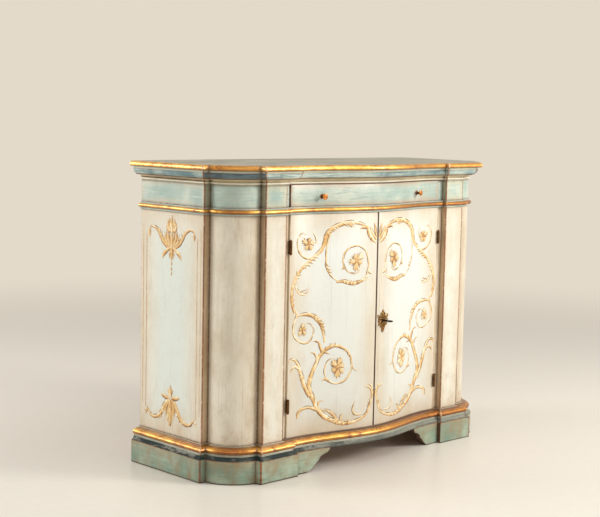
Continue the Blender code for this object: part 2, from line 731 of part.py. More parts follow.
def waist_rail_profile():
    """A rail under the drawer. Its lower lip, behind the doors, is what they close against."""
    stop = DOOR_THICKNESS + FIT
    return [
        (0, WAIST_Z + FIT),
        (0, DRAWER_Z - FIT),
        (RAIL_DEPTH, DRAWER_Z - FIT),
        (RAIL_DEPTH, LIP_Z),
        (stop, LIP_Z),
        (stop, WAIST_Z + FIT),
    ]


def build_drawer():
    runner_z = DRAWER_Z
    front_x = OPENING_X - DRAWER_FRONT_GAP
    side_x = OPENING_X - DRAWER_SIDE_GAP
    inner_x = side_x - DRAWER_SIDE_THICKNESS
    side_y = bow_y(OPENING_X) + DRAWER_FRONT_THICKNESS + FIT
    end_y = BACK_Y - BACK_THICKNESS - DRAWER_BACK_GAP
    middle_z = (DRAWER_Z + CORNICE_Z) / 2
    slide = joint_frame("drawer_slide", (0, bow_y(0), middle_z))
    profile = rectangle(0, DRAWER_FRONT_THICKNESS, runner_z + RUN / 2, CORNICE_Z - RUN)
    front = build("drawer_front", [band_sections(profile, -front_x, front_x)], SEA_GREEN, slide)
    for side in (-1, 1):
        low = (side * inner_x, side_y, runner_z)
        high = (side * side_x, end_y, runner_z + DRAWER_SIDE_HEIGHT)
        build(f"drawer_{side_name(side)}_side", [box_sections(low, high)], RAW_WOOD, slide)
        build_knob(side, front, slide, middle_z - KNOB_DROP)
    bottom_z = runner_z + DRAWER_BOTTOM_RISE
    lining_x = inner_x - FIT
    edge = [(x, bow_y(x) + DRAWER_FRONT_THICKNESS + FIT) for x in bow_stations(-lining_x, lining_x)]
    outline = [*edge, (lining_x, end_y), (-lining_x, end_y)]
    sections = prism_sections(outline, bottom_z, bottom_z + DRAWER_BOTTOM_THICKNESS)
    build("drawer_bottom", [sections], RAW_WOOD, slide)
    back_z = bottom_z + DRAWER_BOTTOM_THICKNESS + FIT
    low = (-lining_x, end_y - DRAWER_SIDE_THICKNESS, back_z)
    high = (lining_x, end_y, back_z + DRAWER_BACK_HEIGHT)
    build("drawer_back", [box_sections(low, high)], RAW_WOOD, slide)
    build_drawer_guides(side_x, inner_x, runner_z)


def build_drawer_guides(side_x, inner_x, runner_z):
    """Battens beside the drawer, and the kickers that keep it from tipping."""
    back_y = BACK_Y - BACK_THICKNESS - FIT
    guide_x = side_x + GUIDE_GAP
    kicker_z = runner_z + DRAWER_SIDE_HEIGHT + RUN
    for side in (-1, 1):
        low = (side * guide_x, STILE_BACK_Y + FIT, runner_z)
        high = (side * (guide_x + GUIDE_WIDTH), back_y, runner_z + GUIDE_HEIGHT)
        build(f"{side_name(side)}_drawer_guide", [box_sections(low, high)], RAW_WOOD)
        low = (side * inner_x, FRAME_INNER_Y + FIT, kicker_z)
        high = (side * (inner_x + KICKER_WIDTH), BACK_Y - BACK_RAIL_THICKNESS - FIT, TOP_Z)
        build(f"{side_name(side)}_drawer_kicker", [box_sections(low, high)], RAW_WOOD)


def knob_profile():
    """Radius and distance from the face: a stem, a rose, a waisted neck, and a head that flares out."""
    neck_end = KNOB_ROSE_THICKNESS + KNOB_NECK_LENGTH
    neck_middle = (KNOB_ROSE_THICKNESS + neck_end) / 2
    profile = [(KNOB_STEM_RADIUS, -KNOB_STEM_LENGTH), (KNOB_STEM_RADIUS, 0)]
    profile += [(KNOB_ROSE_RADIUS, 0), (KNOB_ROSE_RADIUS, KNOB_ROSE_THICKNESS / 2)]
    profile += [(KNOB_NECK_RADIUS * KNOB_NECK_SWELL_SHARE, KNOB_ROSE_THICKNESS)]
    profile += [(KNOB_NECK_RADIUS, neck_middle)]
    for length_share, radius_share in KNOB_HEAD_SHARES:
        profile.append((KNOB_HEAD_RADIUS * radius_share, neck_end + KNOB_HEAD_LENGTH * length_share))
    return [*profile, (KNOB_TIP_RADIUS, neck_end + KNOB_HEAD_LENGTH)]


def build_knob(side, front, slide, middle_z):
    """A turned knob, square to the bowed face, with its stem in the drawer front."""
    x = side * KNOB_SPACING / 2
    slope = (bow_y(x + BOW_STATION) - bow_y(x - BOW_STATION)) / (2 * BOW_STATION)
    normal = Vector((slope, -1, 0)).normalized()
    seat = Vector((x, bow_y(x), middle_z)) + normal * KNOB_SEAT_GAP
    name = f"{side_name(side)}_knob"
    smooth(build(name, [turned_sections(knob_profile(), seat, normal, ROUND_STEPS)], OLD_BRASS, slide, seat))
    bore = [(KNOB_STEM_RADIUS + FIT, -KNOB_STEM_LENGTH - RUN), (KNOB_STEM_RADIUS + FIT, OVERRUN)]
    cut(front, [turned_sections(bore, seat, normal, ROUND_STEPS)])


def build_doors():
    doors = {}
    for side in (-1, 1):
        name = side_name(side)
        axis = joint_frame(f"{name}_door_axis", (side * HINGE_X, HINGE_Y, DOOR_BOTTOM_Z))
        x0, x1 = sorted((side * DOOR_EDGE_X, side * DOOR_MEETING_GAP / 2))
        profile = rectangle(0, DOOR_THICKNESS, DOOR_BOTTOM_Z, DOOR_TOP_Z)
        door = build(f"{name}_door", [band_sections(profile, x0, x1)], CREAM, axis)
        pocket_x = HINGE_X - FIT / 2 - LEAF_THICKNESS - FIT
        face_y = bow_y(DOOR_EDGE_X)
        cut(door, [leaf_pocket(side, pocket_x, DOOR_EDGE_X + OVERRUN, face_y, z) for z in hinge_middles()])
        build_hinges(name, side, axis)
        doors[side] = (door, axis)
    build_lock(*doors[1])
    build_slide_bolts(doors[-1][1])
    build_staple(doors[-1][1])


def knuckle_outline(side, hand):
    """A knuckle and its tab, in plan. Hand is 1 for the stile's leaf and -1 for the door's."""
    near = FIT / 2
    far = near + LEAF_THICKNESS
    tab = KNUCKLE_RADIUS + RUN
    first, last = math.acos(near / KNUCKLE_RADIUS), math.acos(far / KNUCKLE_RADIUS) + 2 * math.pi
    turns = [first + (last - first) * step / SMALL_ROUND_STEPS for step in range(SMALL_ROUND_STEPS + 1)]
    outline = [(KNUCKLE_RADIUS * math.cos(t), KNUCKLE_RADIUS * math.sin(t)) for t in turns]
    outline += [(far, tab), (near, tab)]
    return [(side * (HINGE_X + hand * x), HINGE_Y + y) for x, y in outline]


def build_hinges(name, side, axis):
    """Two butt hinges for one door, each of two leaves with interleaved knuckles on a headed pin."""
    share = HINGE_HEIGHT / KNUCKLE_COUNT
    bore = PIN_RADIUS + FIT
    for place, middle_z in zip(("lower", "upper"), hinge_middles()):
        foot_z = middle_z - HINGE_HEIGHT / 2
        base = (side * HINGE_X, HINGE_Y, foot_z)
        for kind, hand, parent in (("frame", 1, None), ("door", -1, axis)):
            x0 = HINGE_X + hand * FIT / 2
            x1 = x0 + hand * LEAF_THICKNESS
            low = (side * x0, HINGE_Y + KNUCKLE_RADIUS + FIT, foot_z)
            high = (side * x1, HINGE_Y + LEAF_REACH, foot_z + HINGE_HEIGHT)
            leaf = build(f"{name}_{place}_hinge_{kind}_leaf", [box_sections(low, high)], OLD_BRASS, parent)
            outline = knuckle_outline(side, hand)
            for step in range(KNUCKLE_COUNT):
                if (step % 2 == 0) != (hand > 0):
                    continue
                z0 = foot_z + step * share + (FIT / 2 if step else 0)
                z1 = foot_z + (step + 1) * share - (FIT / 2 if step < KNUCKLE_COUNT - 1 else 0)
                join(leaf, [prism_sections(outline, z0, z1)])
            profile = [(bore, -OVERRUN), (bore, HINGE_HEIGHT + OVERRUN)]
            cut(leaf, [turned_sections(profile, base, (0, 0, 1), SMALL_ROUND_STEPS)])
        sections = turned_sections(pin_profile(), base, (0, 0, 1), SMALL_ROUND_STEPS)
        smooth(build(f"{name}_{place}_hinge_pin", [sections], OLD_BRASS))


def pin_profile():
    """A pin with a domed head at each end."""
    end = HINGE_HEIGHT + FIT
    dome = []
    for step in range(CURVE_STEPS):
        turn = math.pi / 2 * step / CURVE_STEPS
        dome.append((PIN_HEAD_RADIUS * math.cos(turn), PIN_HEAD_HEIGHT * math.sin(turn)))
    foot = [(radius, -FIT - rise) for radius, rise in reversed(dome)]
    head = [(radius, end + rise) for radius, rise in dome]
    return foot + [(PIN_RADIUS, -FIT), (PIN_RADIUS, end)] + head


def lock_floor_y():
    """The flat floor of the lock's mortise in the back of the right door."""
    return bow_y(0) + DOOR_THICKNESS - LOCK_MORTISE


def keyhole_parts(y0, y1):
    """A round hole with the slot below it that lets the bit through."""
    profile = [(KEYHOLE_RADIUS, 0), (KEYHOLE_RADIUS, y1 - y0)]
    hole = turned_sections(profile, (LOCK_X, y0, LOCK_Z), (0, 1, 0), SMALL_ROUND_STEPS)
    half = KEYHOLE_SLOT_WIDTH / 2
    low, high = (LOCK_X - half, y0, LOCK_Z - KEY_BIT_REACH - FIT), (LOCK_X + half, y1, LOCK_Z)
    return hole, box_sections(low, high)


def build_lock(door, axis):
    floor_y = lock_floor_y()
    x0, x1 = LOCK_X - LOCK_HALF_WIDTH, LOCK_X + LOCK_HALF_WIDTH
    z0, z1 = LOCK_Z - LOCK_HALF_HEIGHT, LOCK_Z + LOCK_HALF_HEIGHT
    mortise_low = (-OVERRUN, floor_y, z0 - FIT)
    mortise_high = (x1 + FIT, floor_y + DOOR_THICKNESS + BOW_RISE, z1 + FIT)
    cut(door, [box_sections(mortise_low, mortise_high)])
    for shape in keyhole_parts(bow_y(0) - OVERRUN, floor_y + OVERRUN):
        cut(door, [shape])

    case_y = floor_y + FIT
    block = box_sections((x0, case_y, z0), (x1, case_y + LOCK_DEPTH, z1))
    case = build("lock_case", [block], OLD_BRASS, axis)
    wall = LOCK_WALL
    low = (x0 + wall, case_y - OVERRUN, z0 + wall)
    high = (x1 - wall, case_y + LOCK_DEPTH - wall, z1 - wall)
    cut(case, [box_sections(low, high)])

    bolt_y = floor_y + LOCK_BOLT_SETBACK
    bolt_z = LOCK_Z + LOCK_BOLT_RISE - LOCK_BOLT_HEIGHT / 2
    bolt_x = LOCK_BOLT_INSET
    low = (bolt_x, bolt_y, bolt_z)
    high = (bolt_x + LOCK_BOLT_LENGTH, bolt_y + LOCK_BOLT_THICKNESS, bolt_z + LOCK_BOLT_HEIGHT)
    build("lock_bolt", [box_sections(low, high)], OLD_BRASS, axis, low)
    slot_low = (x0 - OVERRUN, low[1] - FIT, low[2] - FIT)
    slot_high = (x0 + wall + FIT, high[1] + FIT, high[2] + FIT)
    cut(case, [box_sections(slot_low, slot_high)])
    build_key(axis, floor_y)
    build_escutcheon(axis)


def build_key(axis, floor_y):
    """A key with a ring bow, a collar and a plain bit, which is level while the bolt is drawn back."""
    face_y = bow_y(LOCK_X)
    tail_y = floor_y + KEY_TAIL
    bow_middle = face_y - KEY_PROJECTION + KEY_BOW_RADIUS + KEY_BOW_WIRE_RADIUS
    stem_end = bow_middle + KEY_BOW_RADIUS
    collar = stem_end + KEY_COLLAR_LENGTH
    profile = [
        (KEY_STEM_RADIUS, stem_end - tail_y),
        (KEY_COLLAR_RADIUS, stem_end - tail_y),
        (KEY_COLLAR_RADIUS, collar - tail_y),
        (KEY_STEM_RADIUS, collar - tail_y),
        (KEY_STEM_RADIUS, 0),
    ]
    base = Vector((LOCK_X, tail_y, LOCK_Z))
    turn = joint_frame("key_axis", base, axis)
    key = build("key", [turned_sections(profile, base, (0, 1, 0), SMALL_ROUND_STEPS)], DARK_IRON, turn)
    smooth(key)
    join(key, [ring_sections(Vector((LOCK_X, bow_middle, LOCK_Z)))], wrap=True)
    half = KEY_BIT_THICKNESS / 2
    bit_y = tail_y - KEY_STEM_RADIUS
    low = (LOCK_X, bit_y - KEY_BIT_WIDTH, LOCK_Z - half)
    join(key, [box_sections(low, (LOCK_X + KEY_BIT_REACH, bit_y, LOCK_Z + half))])


def ring_sections(middle):
    """The key's bow: a ring of round wire that lies level, like the bit, while the bolt is drawn back."""
    turns = [2 * math.pi * step / WIRE_STEPS for step in range(WIRE_STEPS)]
    sections = []
    for step in range(ROUND_STEPS):
        angle = 2 * math.pi * step / ROUND_STEPS
        outward = Vector((math.sin(angle), math.cos(angle), 0))
        wire = [outward * math.cos(t) + Vector((0, 0, 1)) * math.sin(t) for t in turns]
        sections.append([middle + outward * KEY_BOW_RADIUS + way * KEY_BOW_WIRE_RADIUS for way in wire])
    return sections


def rounded(loop):
    """A closed loop with one more point between each two, on the curve through their neighbours."""
    result = []
    for place, here in enumerate(loop):
        before, there, after = (loop[(place + step) % len(loop)] for step in (-1, 1, 2))
        middle = [(9 * (b + c) - a - d) / 16 for a, b, c, d in zip(before, here, there, after)]
        result += [here, tuple(middle)]
    return result


def escutcheon_loops():
    """The outline of the plate, its pierced leaves and its keyhole, about the keyhole's middle."""
    wide, high = ESCUTCHEON_HALF_WIDTH, ESCUTCHEON_HALF_HEIGHT
    right = [(x * wide, z * high) for x, z in ESCUTCHEON_SHARES]
    loops = [rounded(right + [(-x, z) for x, z in reversed(right[1:-1])])]
    turns = [2 * math.pi * step / LEAF_STEPS for step in range(LEAF_STEPS)]
    for side in (-1, 1):
        for x, z, reach_x, reach_z in ESCUTCHEON_LEAF_SHARES:
            points = [(x + reach_x * math.cos(t), z + reach_z * math.sin(t)) for t in turns]
            loops.append([(side * wide * x, high * z) for x, z in points])
    return [*loops, keyhole_loop()]


def keyhole_loop():
    radius = KEYHOLE_RADIUS
    half = KEYHOLE_SLOT_WIDTH / 2 - FIT
    drop = math.sqrt(radius**2 - half**2)
    first = math.atan2(-drop, half)
    last = math.atan2(-drop, -half) + 2 * math.pi
    turns = [first + (last - first) * step / SMALL_ROUND_STEPS for step in range(SMALL_ROUND_STEPS + 1)]
    loop = [(radius * math.cos(t), radius * math.sin(t)) for t in turns]
    return loop + [(-half, -KEY_BIT_REACH - FIT), (half, -KEY_BIT_REACH - FIT)]


def encloses(loop, x, y):
    """Whether a loop of points goes round (x, y)."""
    crossings = 0
    for (x0, y0), (x1, y1) in zip(loop, loop[1:] + loop[:1]):
        if (y0 > y) != (y1 > y) and x < x0 + (y - y0) * (x1 - x0) / (y1 - y0):
            crossings += 1
    return crossings % 2 == 1


def build_escutcheon(axis):
    """A pierced plate, bent to the bow of the door."""
    loops = escutcheon_loops()
    points = [Vector(point) for loop in loops for point in loop]
    edges = []
    for loop in loops:
        first = len(edges)
        edges += [(first + here, first + (here + 1) % len(loop)) for here in range(len(loop))]
    flat, _, triangles, *_ = delaunay_2d_cdt(points, edges, [], 1, TRIANGULATION_TOLERANCE)
    faces = []
    for triangle in triangles:
        middle = sum((flat[index] for index in triangle), Vector((0, 0))) / len(triangle)
        if not any(encloses(loop, middle.x, middle.y) for loop in loops[1:]):
            faces.append(list(triangle))
    bm = bmesh.new()
    layers = []
    for lift in (FIT, FIT + ESCUTCHEON_THICKNESS):
        layers.append(
            [bm.verts.new((LOCK_X + p.x, bow_y(LOCK_X + p.x) - lift, LOCK_Z + p.y)) for p in flat]
        )
    near, far = layers
    walls = {}
    for face in faces:
        bm.faces.new([near[index] for index in face])
        bm.faces.new([far[index] for index in reversed(face)])
        for one, other in zip(face, face[1:] + face[:1]):
            key = (min(one, other), max(one, other))
            walls[key] = walls.get(key, 0) + 1
    for (one, other), uses in walls.items():
        if uses == 1:
            bm.faces.new((near[one], near[other], far[other], far[one]))
    paint(object_from("escutcheon", bm, axis), OLD_BRASS)


def back_seat_y(x0, x1):
    """The least y at which a flat plate from x0 to x1 clears the bowed back of a door."""
    return max(bow_y(x0), bow_y(x1)) + DOOR_THICKNESS + FIT


def build_staple(axis):
    """The keeper on the left door that the lock bolt enters."""
    x0, x1 = -STAPLE_INSET - STAPLE_LENGTH, -STAPLE_INSET
    foot_y = back_seat_y(x0, x1)
    middle_z = LOCK_Z + LOCK_BOLT_RISE
    inner_half = LOCK_BOLT_HEIGHT / 2 + RUN
    outer_half = inner_half + STAPLE_WALL
    inner_y = lock_floor_y() + LOCK_BOLT_SETBACK + LOCK_BOLT_THICKNESS + RUN
    outer_y = inner_y + STAPLE_WALL
    section = [
        (foot_y, middle_z - outer_half),
        (outer_y, middle_z - outer_half),
        (outer_y, middle_z + outer_half),
        (foot_y, middle_z + outer_half),
        (foot_y, middle_z + inner_half),
        (inner_y, middle_z + inner_half),
        (inner_y, middle_z - inner_half),
        (foot_y, middle_z - inner_half),
    ]
    build("lock_staple", [[[(x, y, z) for y, z in section] for x in (x0, x1)]], OLD_BRASS, axis)


def slide_bolt_y():
    plate = back_seat_y(-SLIDE_BOLT_X - GUIDE_PLATE_WIDTH / 2, -SLIDE_BOLT_X + GUIDE_PLATE_WIDTH / 2)
    return plate + GUIDE_PLATE_THICKNESS + RUN + SLIDE_BOLT_RADIUS


def slide_bolt_hole(face_z, way):
    """The hole that a slide bolt shoots into, up from face_z where way is 1 and down where it is -1."""
    radius = SLIDE_BOLT_RADIUS + FIT
    profile = [(radius, -OVERRUN), (radius, SLIDE_BOLT_SINK + RUN)]
    base = (-SLIDE_BOLT_X, slide_bolt_y(), face_z)
    return turned_sections(profile, base, (0, 0, way), SMALL_ROUND_STEPS)


def build_slide_bolts(axis):
    """Two slide bolts that hold the left door to the rail above and the board below."""
    rod_y = slide_bolt_y()
    plate_y = rod_y - SLIDE_BOLT_RADIUS - RUN - GUIDE_PLATE_THICKNESS
    loop_y = rod_y + SLIDE_BOLT_RADIUS + STAPLE_WALL
    half = GUIDE_PLATE_WIDTH / 2
    for place, face_z, way in (("upper", LIP_Z, 1), ("lower", BOTTOM_BOARD_TOP_Z, -1)):
        tip_z = face_z - way * SLIDE_BOLT_CLEARANCE
        base = (-SLIDE_BOLT_X, rod_y, tip_z)
        profile = [(SLIDE_BOLT_RADIUS, 0), (SLIDE_BOLT_RADIUS, SLIDE_BOLT_LENGTH)]
        sections = turned_sections(profile, base, (0, 0, -way), SMALL_ROUND_STEPS)
        rod = build(f"{place}_slide_bolt", [sections], DARK_IRON, axis)
        smooth(rod)
        middle_z = tip_z - way * SLIDE_BOLT_LENGTH / 2
        thumb_z = middle_z - way * (SLIDE_BOLT_CLEARANCE + SLIDE_BOLT_SINK) / 2
        thumb = [(THUMB_RADIUS, 0), (THUMB_RADIUS, THUMB_LENGTH)]
        join(rod, [turned_sections(thumb, (-SLIDE_BOLT_X, rod_y, thumb_z), (0, 1, 0), SMALL_ROUND_STEPS)])
        low = (-SLIDE_BOLT_X - half, plate_y, middle_z - GUIDE_PLATE_LENGTH / 2)
        high = (-SLIDE_BOLT_X + half, plate_y + GUIDE_PLATE_THICKNESS, middle_z + GUIDE_PLATE_LENGTH / 2)
        guide = build(f"{place}_bolt_guide", [box_sections(low, high)], OLD_BRASS, axis)
        for end in (-1, 1):
            outer_z = middle_z + end * GUIDE_PLATE_LENGTH / 2
            z0, z1 = sorted((outer_z, outer_z - end * GUIDE_LOOP_HEIGHT))
            join(guide, [box_sections((low[0] + RUN, plate_y, z0), (high[0] - RUN, loop_y, z1))])
        bore = [(SLIDE_BOLT_RADIUS + FIT, -OVERRUN), (SLIDE_BOLT_RADIUS + FIT, SLIDE_BOLT_LENGTH + OVERRUN)]
        cut(guide, [turned_sections(bore, base, (0, 0, -way), SMALL_ROUND_STEPS)])


def main():
    clear_scene()
    build_plinth()
    build_frames()
    build_case()
    build_drawer()
    build_doors()


main()
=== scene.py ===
"""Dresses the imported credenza: lacquer, gilding, painted scrolls and brass on fine shapes, in a pale studio.

Metres, +Z up, the front faces -Y, as in the frame."""

import json
import math
import bmesh
import bpy
from mathutils import Matrix, Vector, noise


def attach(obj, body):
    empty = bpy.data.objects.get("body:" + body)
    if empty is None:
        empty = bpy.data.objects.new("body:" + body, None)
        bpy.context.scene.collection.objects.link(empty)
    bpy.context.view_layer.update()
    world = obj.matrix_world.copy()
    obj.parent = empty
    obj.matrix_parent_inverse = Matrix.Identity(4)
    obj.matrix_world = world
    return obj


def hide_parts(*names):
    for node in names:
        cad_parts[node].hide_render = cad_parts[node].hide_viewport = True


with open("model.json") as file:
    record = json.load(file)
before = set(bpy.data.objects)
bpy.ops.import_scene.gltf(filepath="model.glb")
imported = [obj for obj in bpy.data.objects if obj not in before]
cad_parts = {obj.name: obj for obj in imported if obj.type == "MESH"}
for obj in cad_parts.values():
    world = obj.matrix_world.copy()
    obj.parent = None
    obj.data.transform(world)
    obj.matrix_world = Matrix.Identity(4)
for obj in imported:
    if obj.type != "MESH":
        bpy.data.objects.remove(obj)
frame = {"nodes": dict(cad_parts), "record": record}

nodes = frame["nodes"]
record = frame["record"]
body_of_node = {node: body for body, group in record["behaviour"]["bodies"].items() for node in group}
for startup in ("Cube", "Light", "Camera"):
    if startup in bpy.data.objects:
        bpy.data.objects.remove(bpy.data.objects[startup])
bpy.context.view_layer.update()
SIDES = (("left", -1), ("right", 1))


def box(node):
    """The lowest and the highest corner of a solid."""
    places = [vert.co for vert in nodes[node].data.vertices]
    return [Vector([end(place[axis] for place in places) for axis in range(3)]) for end in (min, max)]


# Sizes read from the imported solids
side_low, side_high = box("left_side_panel")
stile_low, stile_high = box("left_stile")
door_low, door_high = box("left_door")
knob_low, knob_high = box("right_knob")
HALF_WIDTH = -side_low.x
SIDE_INNER_X = -side_high.x
CORNER_Y, BACK_Y = side_low.y, side_high.y
STILE_OUTER_X, OPENING_X = -stile_low.x, -stile_high.x
STILE_Y, STILE_BACK_Y = stile_low.y, stile_high.y
DOOR_EDGE_X, DOOR_MEETING_X = -door_low.x, -door_high.x
DOOR_BOTTOM_Z, DOOR_TOP_Z = door_low.z, door_high.z
BASE_FOOT_Z, CASE_Z = box("base_moulding")[0].z, box("base_moulding")[1].z
WAIST_Z, DRAWER_Z = box("waist_moulding")[0].z, box("waist_moulding")[1].z
CORNICE_Z, TOP_Z = box("cornice")[0].z, box("cornice")[1].z
BOARD_FOOT_Z, HEIGHT = box("top_board")[0].z, box("top_board")[1].z
PLINTH_OUT = STILE_Y - box("left_plinth_block")[0].y
DRAWER_EDGE_X = box("drawer_front")[1].x
SHELF_LOW, SHELF_HIGH = box("shelf")
KNOB_X, KNOB_Z = 0.220, (knob_low.z + knob_high.z) / 2
key_turn = next(joint for joint in record["behaviour"]["joints"] if joint["name"] == "key_turn")
LOCK_X, _, LOCK_Z = key_turn["pos_m"]

# Sizes as in the part
MM = 0.001
COLUMN_RADIUS = 0.088
COLUMN_LAND = 0.030
PLINTH_BLOCK_DEPTH = 0.060
STILE_STEP_X = 0.371
STRIP_Y = -0.1615
BOW_RISE = 0.0324
BOW_FALL = 0.0135
BOW_HALF_WIDTH = 0.3184
FRAME_INNER_X = 0.530
FRAME_INNER_Y = -0.110
PLATE_THICKNESS = 0.0015
FIT = 0.0003

# The column's axis stands on the diagonal of the corner
BASE_Z = BASE_FOOT_Z - FIT
CORNER_INSET = HALF_WIDTH - STILE_OUTER_X
SIDE_THICKNESS = HALF_WIDTH - SIDE_INNER_X
HALF_CHORD = (CORNER_INSET - SIDE_THICKNESS) / math.sqrt(2)
REACH = math.sqrt((COLUMN_RADIUS**2 - HALF_CHORD**2) / 2)
COLUMN_X = HALF_WIDTH - (CORNER_INSET + SIDE_THICKNESS) / 2 - REACH
COLUMN_Y = STILE_Y + (CORNER_INSET + SIDE_THICKNESS) / 2 + REACH
BOW_END_Y = STILE_Y + BOW_FALL


def srgb(red, green, blue):
    shares = (red, green, blue)
    return (*(c / 12.92 if c <= 0.04045 else ((c + 0.055) / 1.055) ** 2.4 for c in shares), 1)


# Shader graphs


class Value:
    """A socket of a material's graph, with arithmetic."""

    def __init__(self, graph, socket):
        self.graph = graph
        self.socket = socket

    def __add__(self, other):
        return self.graph.math("ADD", self, other)

    def __sub__(self, other):
        return self.graph.math("SUBTRACT", self, other)

    def __rsub__(self, other):
        return self.graph.math("SUBTRACT", other, self)

    def __mul__(self, other):
        return self.graph.math("MULTIPLY", self, other)

    def __abs__(self):
        return self.graph.math("ABSOLUTE", self, 0.0)

    def least(self, other):
        return self.graph.math("MINIMUM", self, other)

    def most(self, other):
        return self.graph.math("MAXIMUM", self, other)

    def step(self, low, high, out_low=0.0, out_high=1.0):
        """A smooth step from one value to the other between two places."""
        node = self.graph.add("ShaderNodeMapRange", interpolation_type="SMOOTHSTEP")
        names = ("Value", "From Min", "From Max", "To Min", "To Max")
        for name, value in zip(names, (self, low, high, out_low, out_high)):
            self.graph.put(node.inputs[name], value)
        return Value(self.graph, node.outputs[0])


class Graph:
    """A material's node tree. Its colour is built in layers, and finish gives it to the shader."""

    def __init__(self, name):
        self.material = bpy.data.materials.new(name)
        self.material.use_nodes = True
        self.tree = self.material.node_tree
        self.shader = self.tree.nodes["Principled BSDF"]
        self.coordinates = self.add("ShaderNodeTexCoord").outputs["Object"]
        axes = self.add("ShaderNodeSeparateXYZ")
        self.put(axes.inputs[0], self.coordinates)
        self.axes = {name: Value(self, axes.outputs[name]) for name in "XYZ"}
        self.colour = None

    def add(self, kind, **settings):
        node = self.tree.nodes.new(kind)
        for key, value in settings.items():
            setattr(node, key, value)
        return node

    def put(self, socket, value):
        if isinstance(value, Value):
            value = value.socket
        if isinstance(value, bpy.types.NodeSocket):
            self.tree.links.new(value, socket)
        else:
            socket.default_value = value

    def math(self, operation, one, other):
        node = self.add("ShaderNodeMath", operation=operation)
        self.put(node.inputs[0], one)
        self.put(node.inputs[1], other)
        return Value(self, node.outputs[0])

    def vector(self, operation, *values):
        node = self.add("ShaderNodeVectorMath", operation=operation)
        for socket, value in zip(node.inputs, values):
            self.put(socket, value)
        return node

    def noise(self, scale, detail=3.0, rough=0.5, distort=0.0, shift=(0, 0, 0), output="Fac"):
        """A cloudy pattern with its own scale on each axis, or the same on all."""
        place = self.add("ShaderNodeMapping")
        self.put(place.inputs["Vector"], self.coordinates)
        place.inputs["Scale"].default_value = scale if isinstance(scale, (tuple, list)) else (scale,) * 3
        place.inputs["Location"].default_value = shift
        node = self.add("ShaderNodeTexNoise")
        self.put(node.inputs["Vector"], place.outputs[0])
        settings = {"Scale": 1.0, "Detail": detail, "Roughness": rough, "Distortion": distort}
        for name, value in settings.items():
            node.inputs[name].default_value = value
        return Value(self, node.outputs[output])

    def attribute(self, name):
        return Value(self, self.add("ShaderNodeAttribute", attribute_name=name).outputs["Fac"])

    def cracks(self, scale, width):
        """Fine lines of an aged paint film."""
        wander = self.noise(18, 2.0, output="Color")
        bend = self.vector("MULTIPLY_ADD", wander, (0.05, 0.05, 0.05), self.coordinates)
        cells = self.add("ShaderNodeTexVoronoi", feature="DISTANCE_TO_EDGE")
        self.put(cells.inputs["Vector"], bend.outputs[0])
        cells.inputs["Scale"].default_value = scale
        return Value(self, cells.outputs["Distance"]).step(0.0, width, 1.0, 0.0)

    def ramp(self, value, stops):
        node = self.add("ShaderNodeValToRGB")
        self.put(node.inputs["Fac"], value)
        band = node.color_ramp
        for place, (position, colour) in enumerate(stops):
            stop = band.elements[place] if place < 2 else band.elements.new(position)
            stop.position = position
            stop.color = srgb(*colour)
        self.colour = node.outputs["Color"]

    def layer(self, share, paint, ground=None):
        """Lays a paint over the colour so far, or over a ground that starts it. Both are sRGB or sockets."""
        node = self.add("ShaderNodeMix", data_type="RGBA")
        self.put(node.inputs["Factor"], share)
        for socket, value in ((node.inputs[6], ground or self.colour), (node.inputs[7], paint)):
            self.put(socket, srgb(*value) if isinstance(value, tuple) else value)
        self.colour = node.outputs[2]

    def finish(self, height, strength, distance, **settings):
        """Sets the shader, and bumps it by a height."""
        node = self.add("ShaderNodeBump")
        self.put(node.inputs["Height"], height)
        node.inputs["Strength"].default_value = strength
        node.inputs["Distance"].default_value = distance
        self.put(self.shader.inputs["Normal"], node.outputs[0])
        self.put(self.shader.inputs["Base Color"], self.colour)
        for name, value in settings.items():
            self.put(self.shader.inputs[name.replace("_", " ").title()], value)
        return self.material


def box_edge(graph, kind, low, high, bottom, top):
    """Distance to the nearest edge of a flat board's face. X counts from the middle to both sides."""
    across = abs(graph.axes["X"]) if kind == "X" else graph.axes["Y"]
    up = graph.axes["Z"]
    return (across - low).least(high - across).least((up - bottom).least(top - up))


def near_arrises(graph, arrises, wide):
    """1 at the upright arrises that stand at the given places of the plan, fading over a width."""
    flat = graph.add("ShaderNodeCombineXYZ")
    graph.put(flat.inputs[0], abs(graph.axes["X"]))
    graph.put(flat.inputs[1], graph.axes["Y"])
    near = Value(graph, 0.0)
    for x, y in arrises:
        gap = graph.vector("DISTANCE", flat.outputs[0], (x, y, 0)).outputs["Value"]
        near = near.most(Value(graph, gap).step(wide, 0.45 * wide))
    return near


CASE_ARRISES = ((HALF_WIDTH, CORNER_Y), (STILE_OUTER_X, STILE_Y), (STILE_STEP_X, STILE_Y))
PLINTH_ARRISES = tuple((x + PLINTH_OUT, y - PLINTH_OUT) for x, y in CASE_ARRISES[:2])
COLUMN_FRONTS = ((0.580, -0.150), (0.552, -0.178))  # where the gilding of the mouldings is rubbed, and darkened as painted shade
STREAKS = {"x": (5, 90, 150), "y": (90, 5, 150), "z": (120, 120, 4), "xy": (9, 9, 170)}
PATCHES = {"x": (7, 20, 26), "y": (20, 7, 26), "z": (18, 18, 6), "xy": (9, 9, 30)}
EDGE_FADE = 0.0004  # where the rubbing of an edge is full
COOL_ZONE = (0.03, 0.12)  # from where to where the cool middle of a panel comes up
SMEAR_HEIGHT = 0.20
BRUSH_WANDER = 0.004
# The lines at the foot of the plinth and of the base's cove fade towards +X: painted shade, darker on the left
FOOT_LINE_SHADE_X = (-0.45, 0.45)
# The gilding darkens towards +X and lower down: painted shade
GILDING_SHADE_X = (-0.10, 0.26)
GILDING_SHADE_Z = (0.95, 0.80)
GILDING_RUB_AND_SHADE_REACH = 0.055


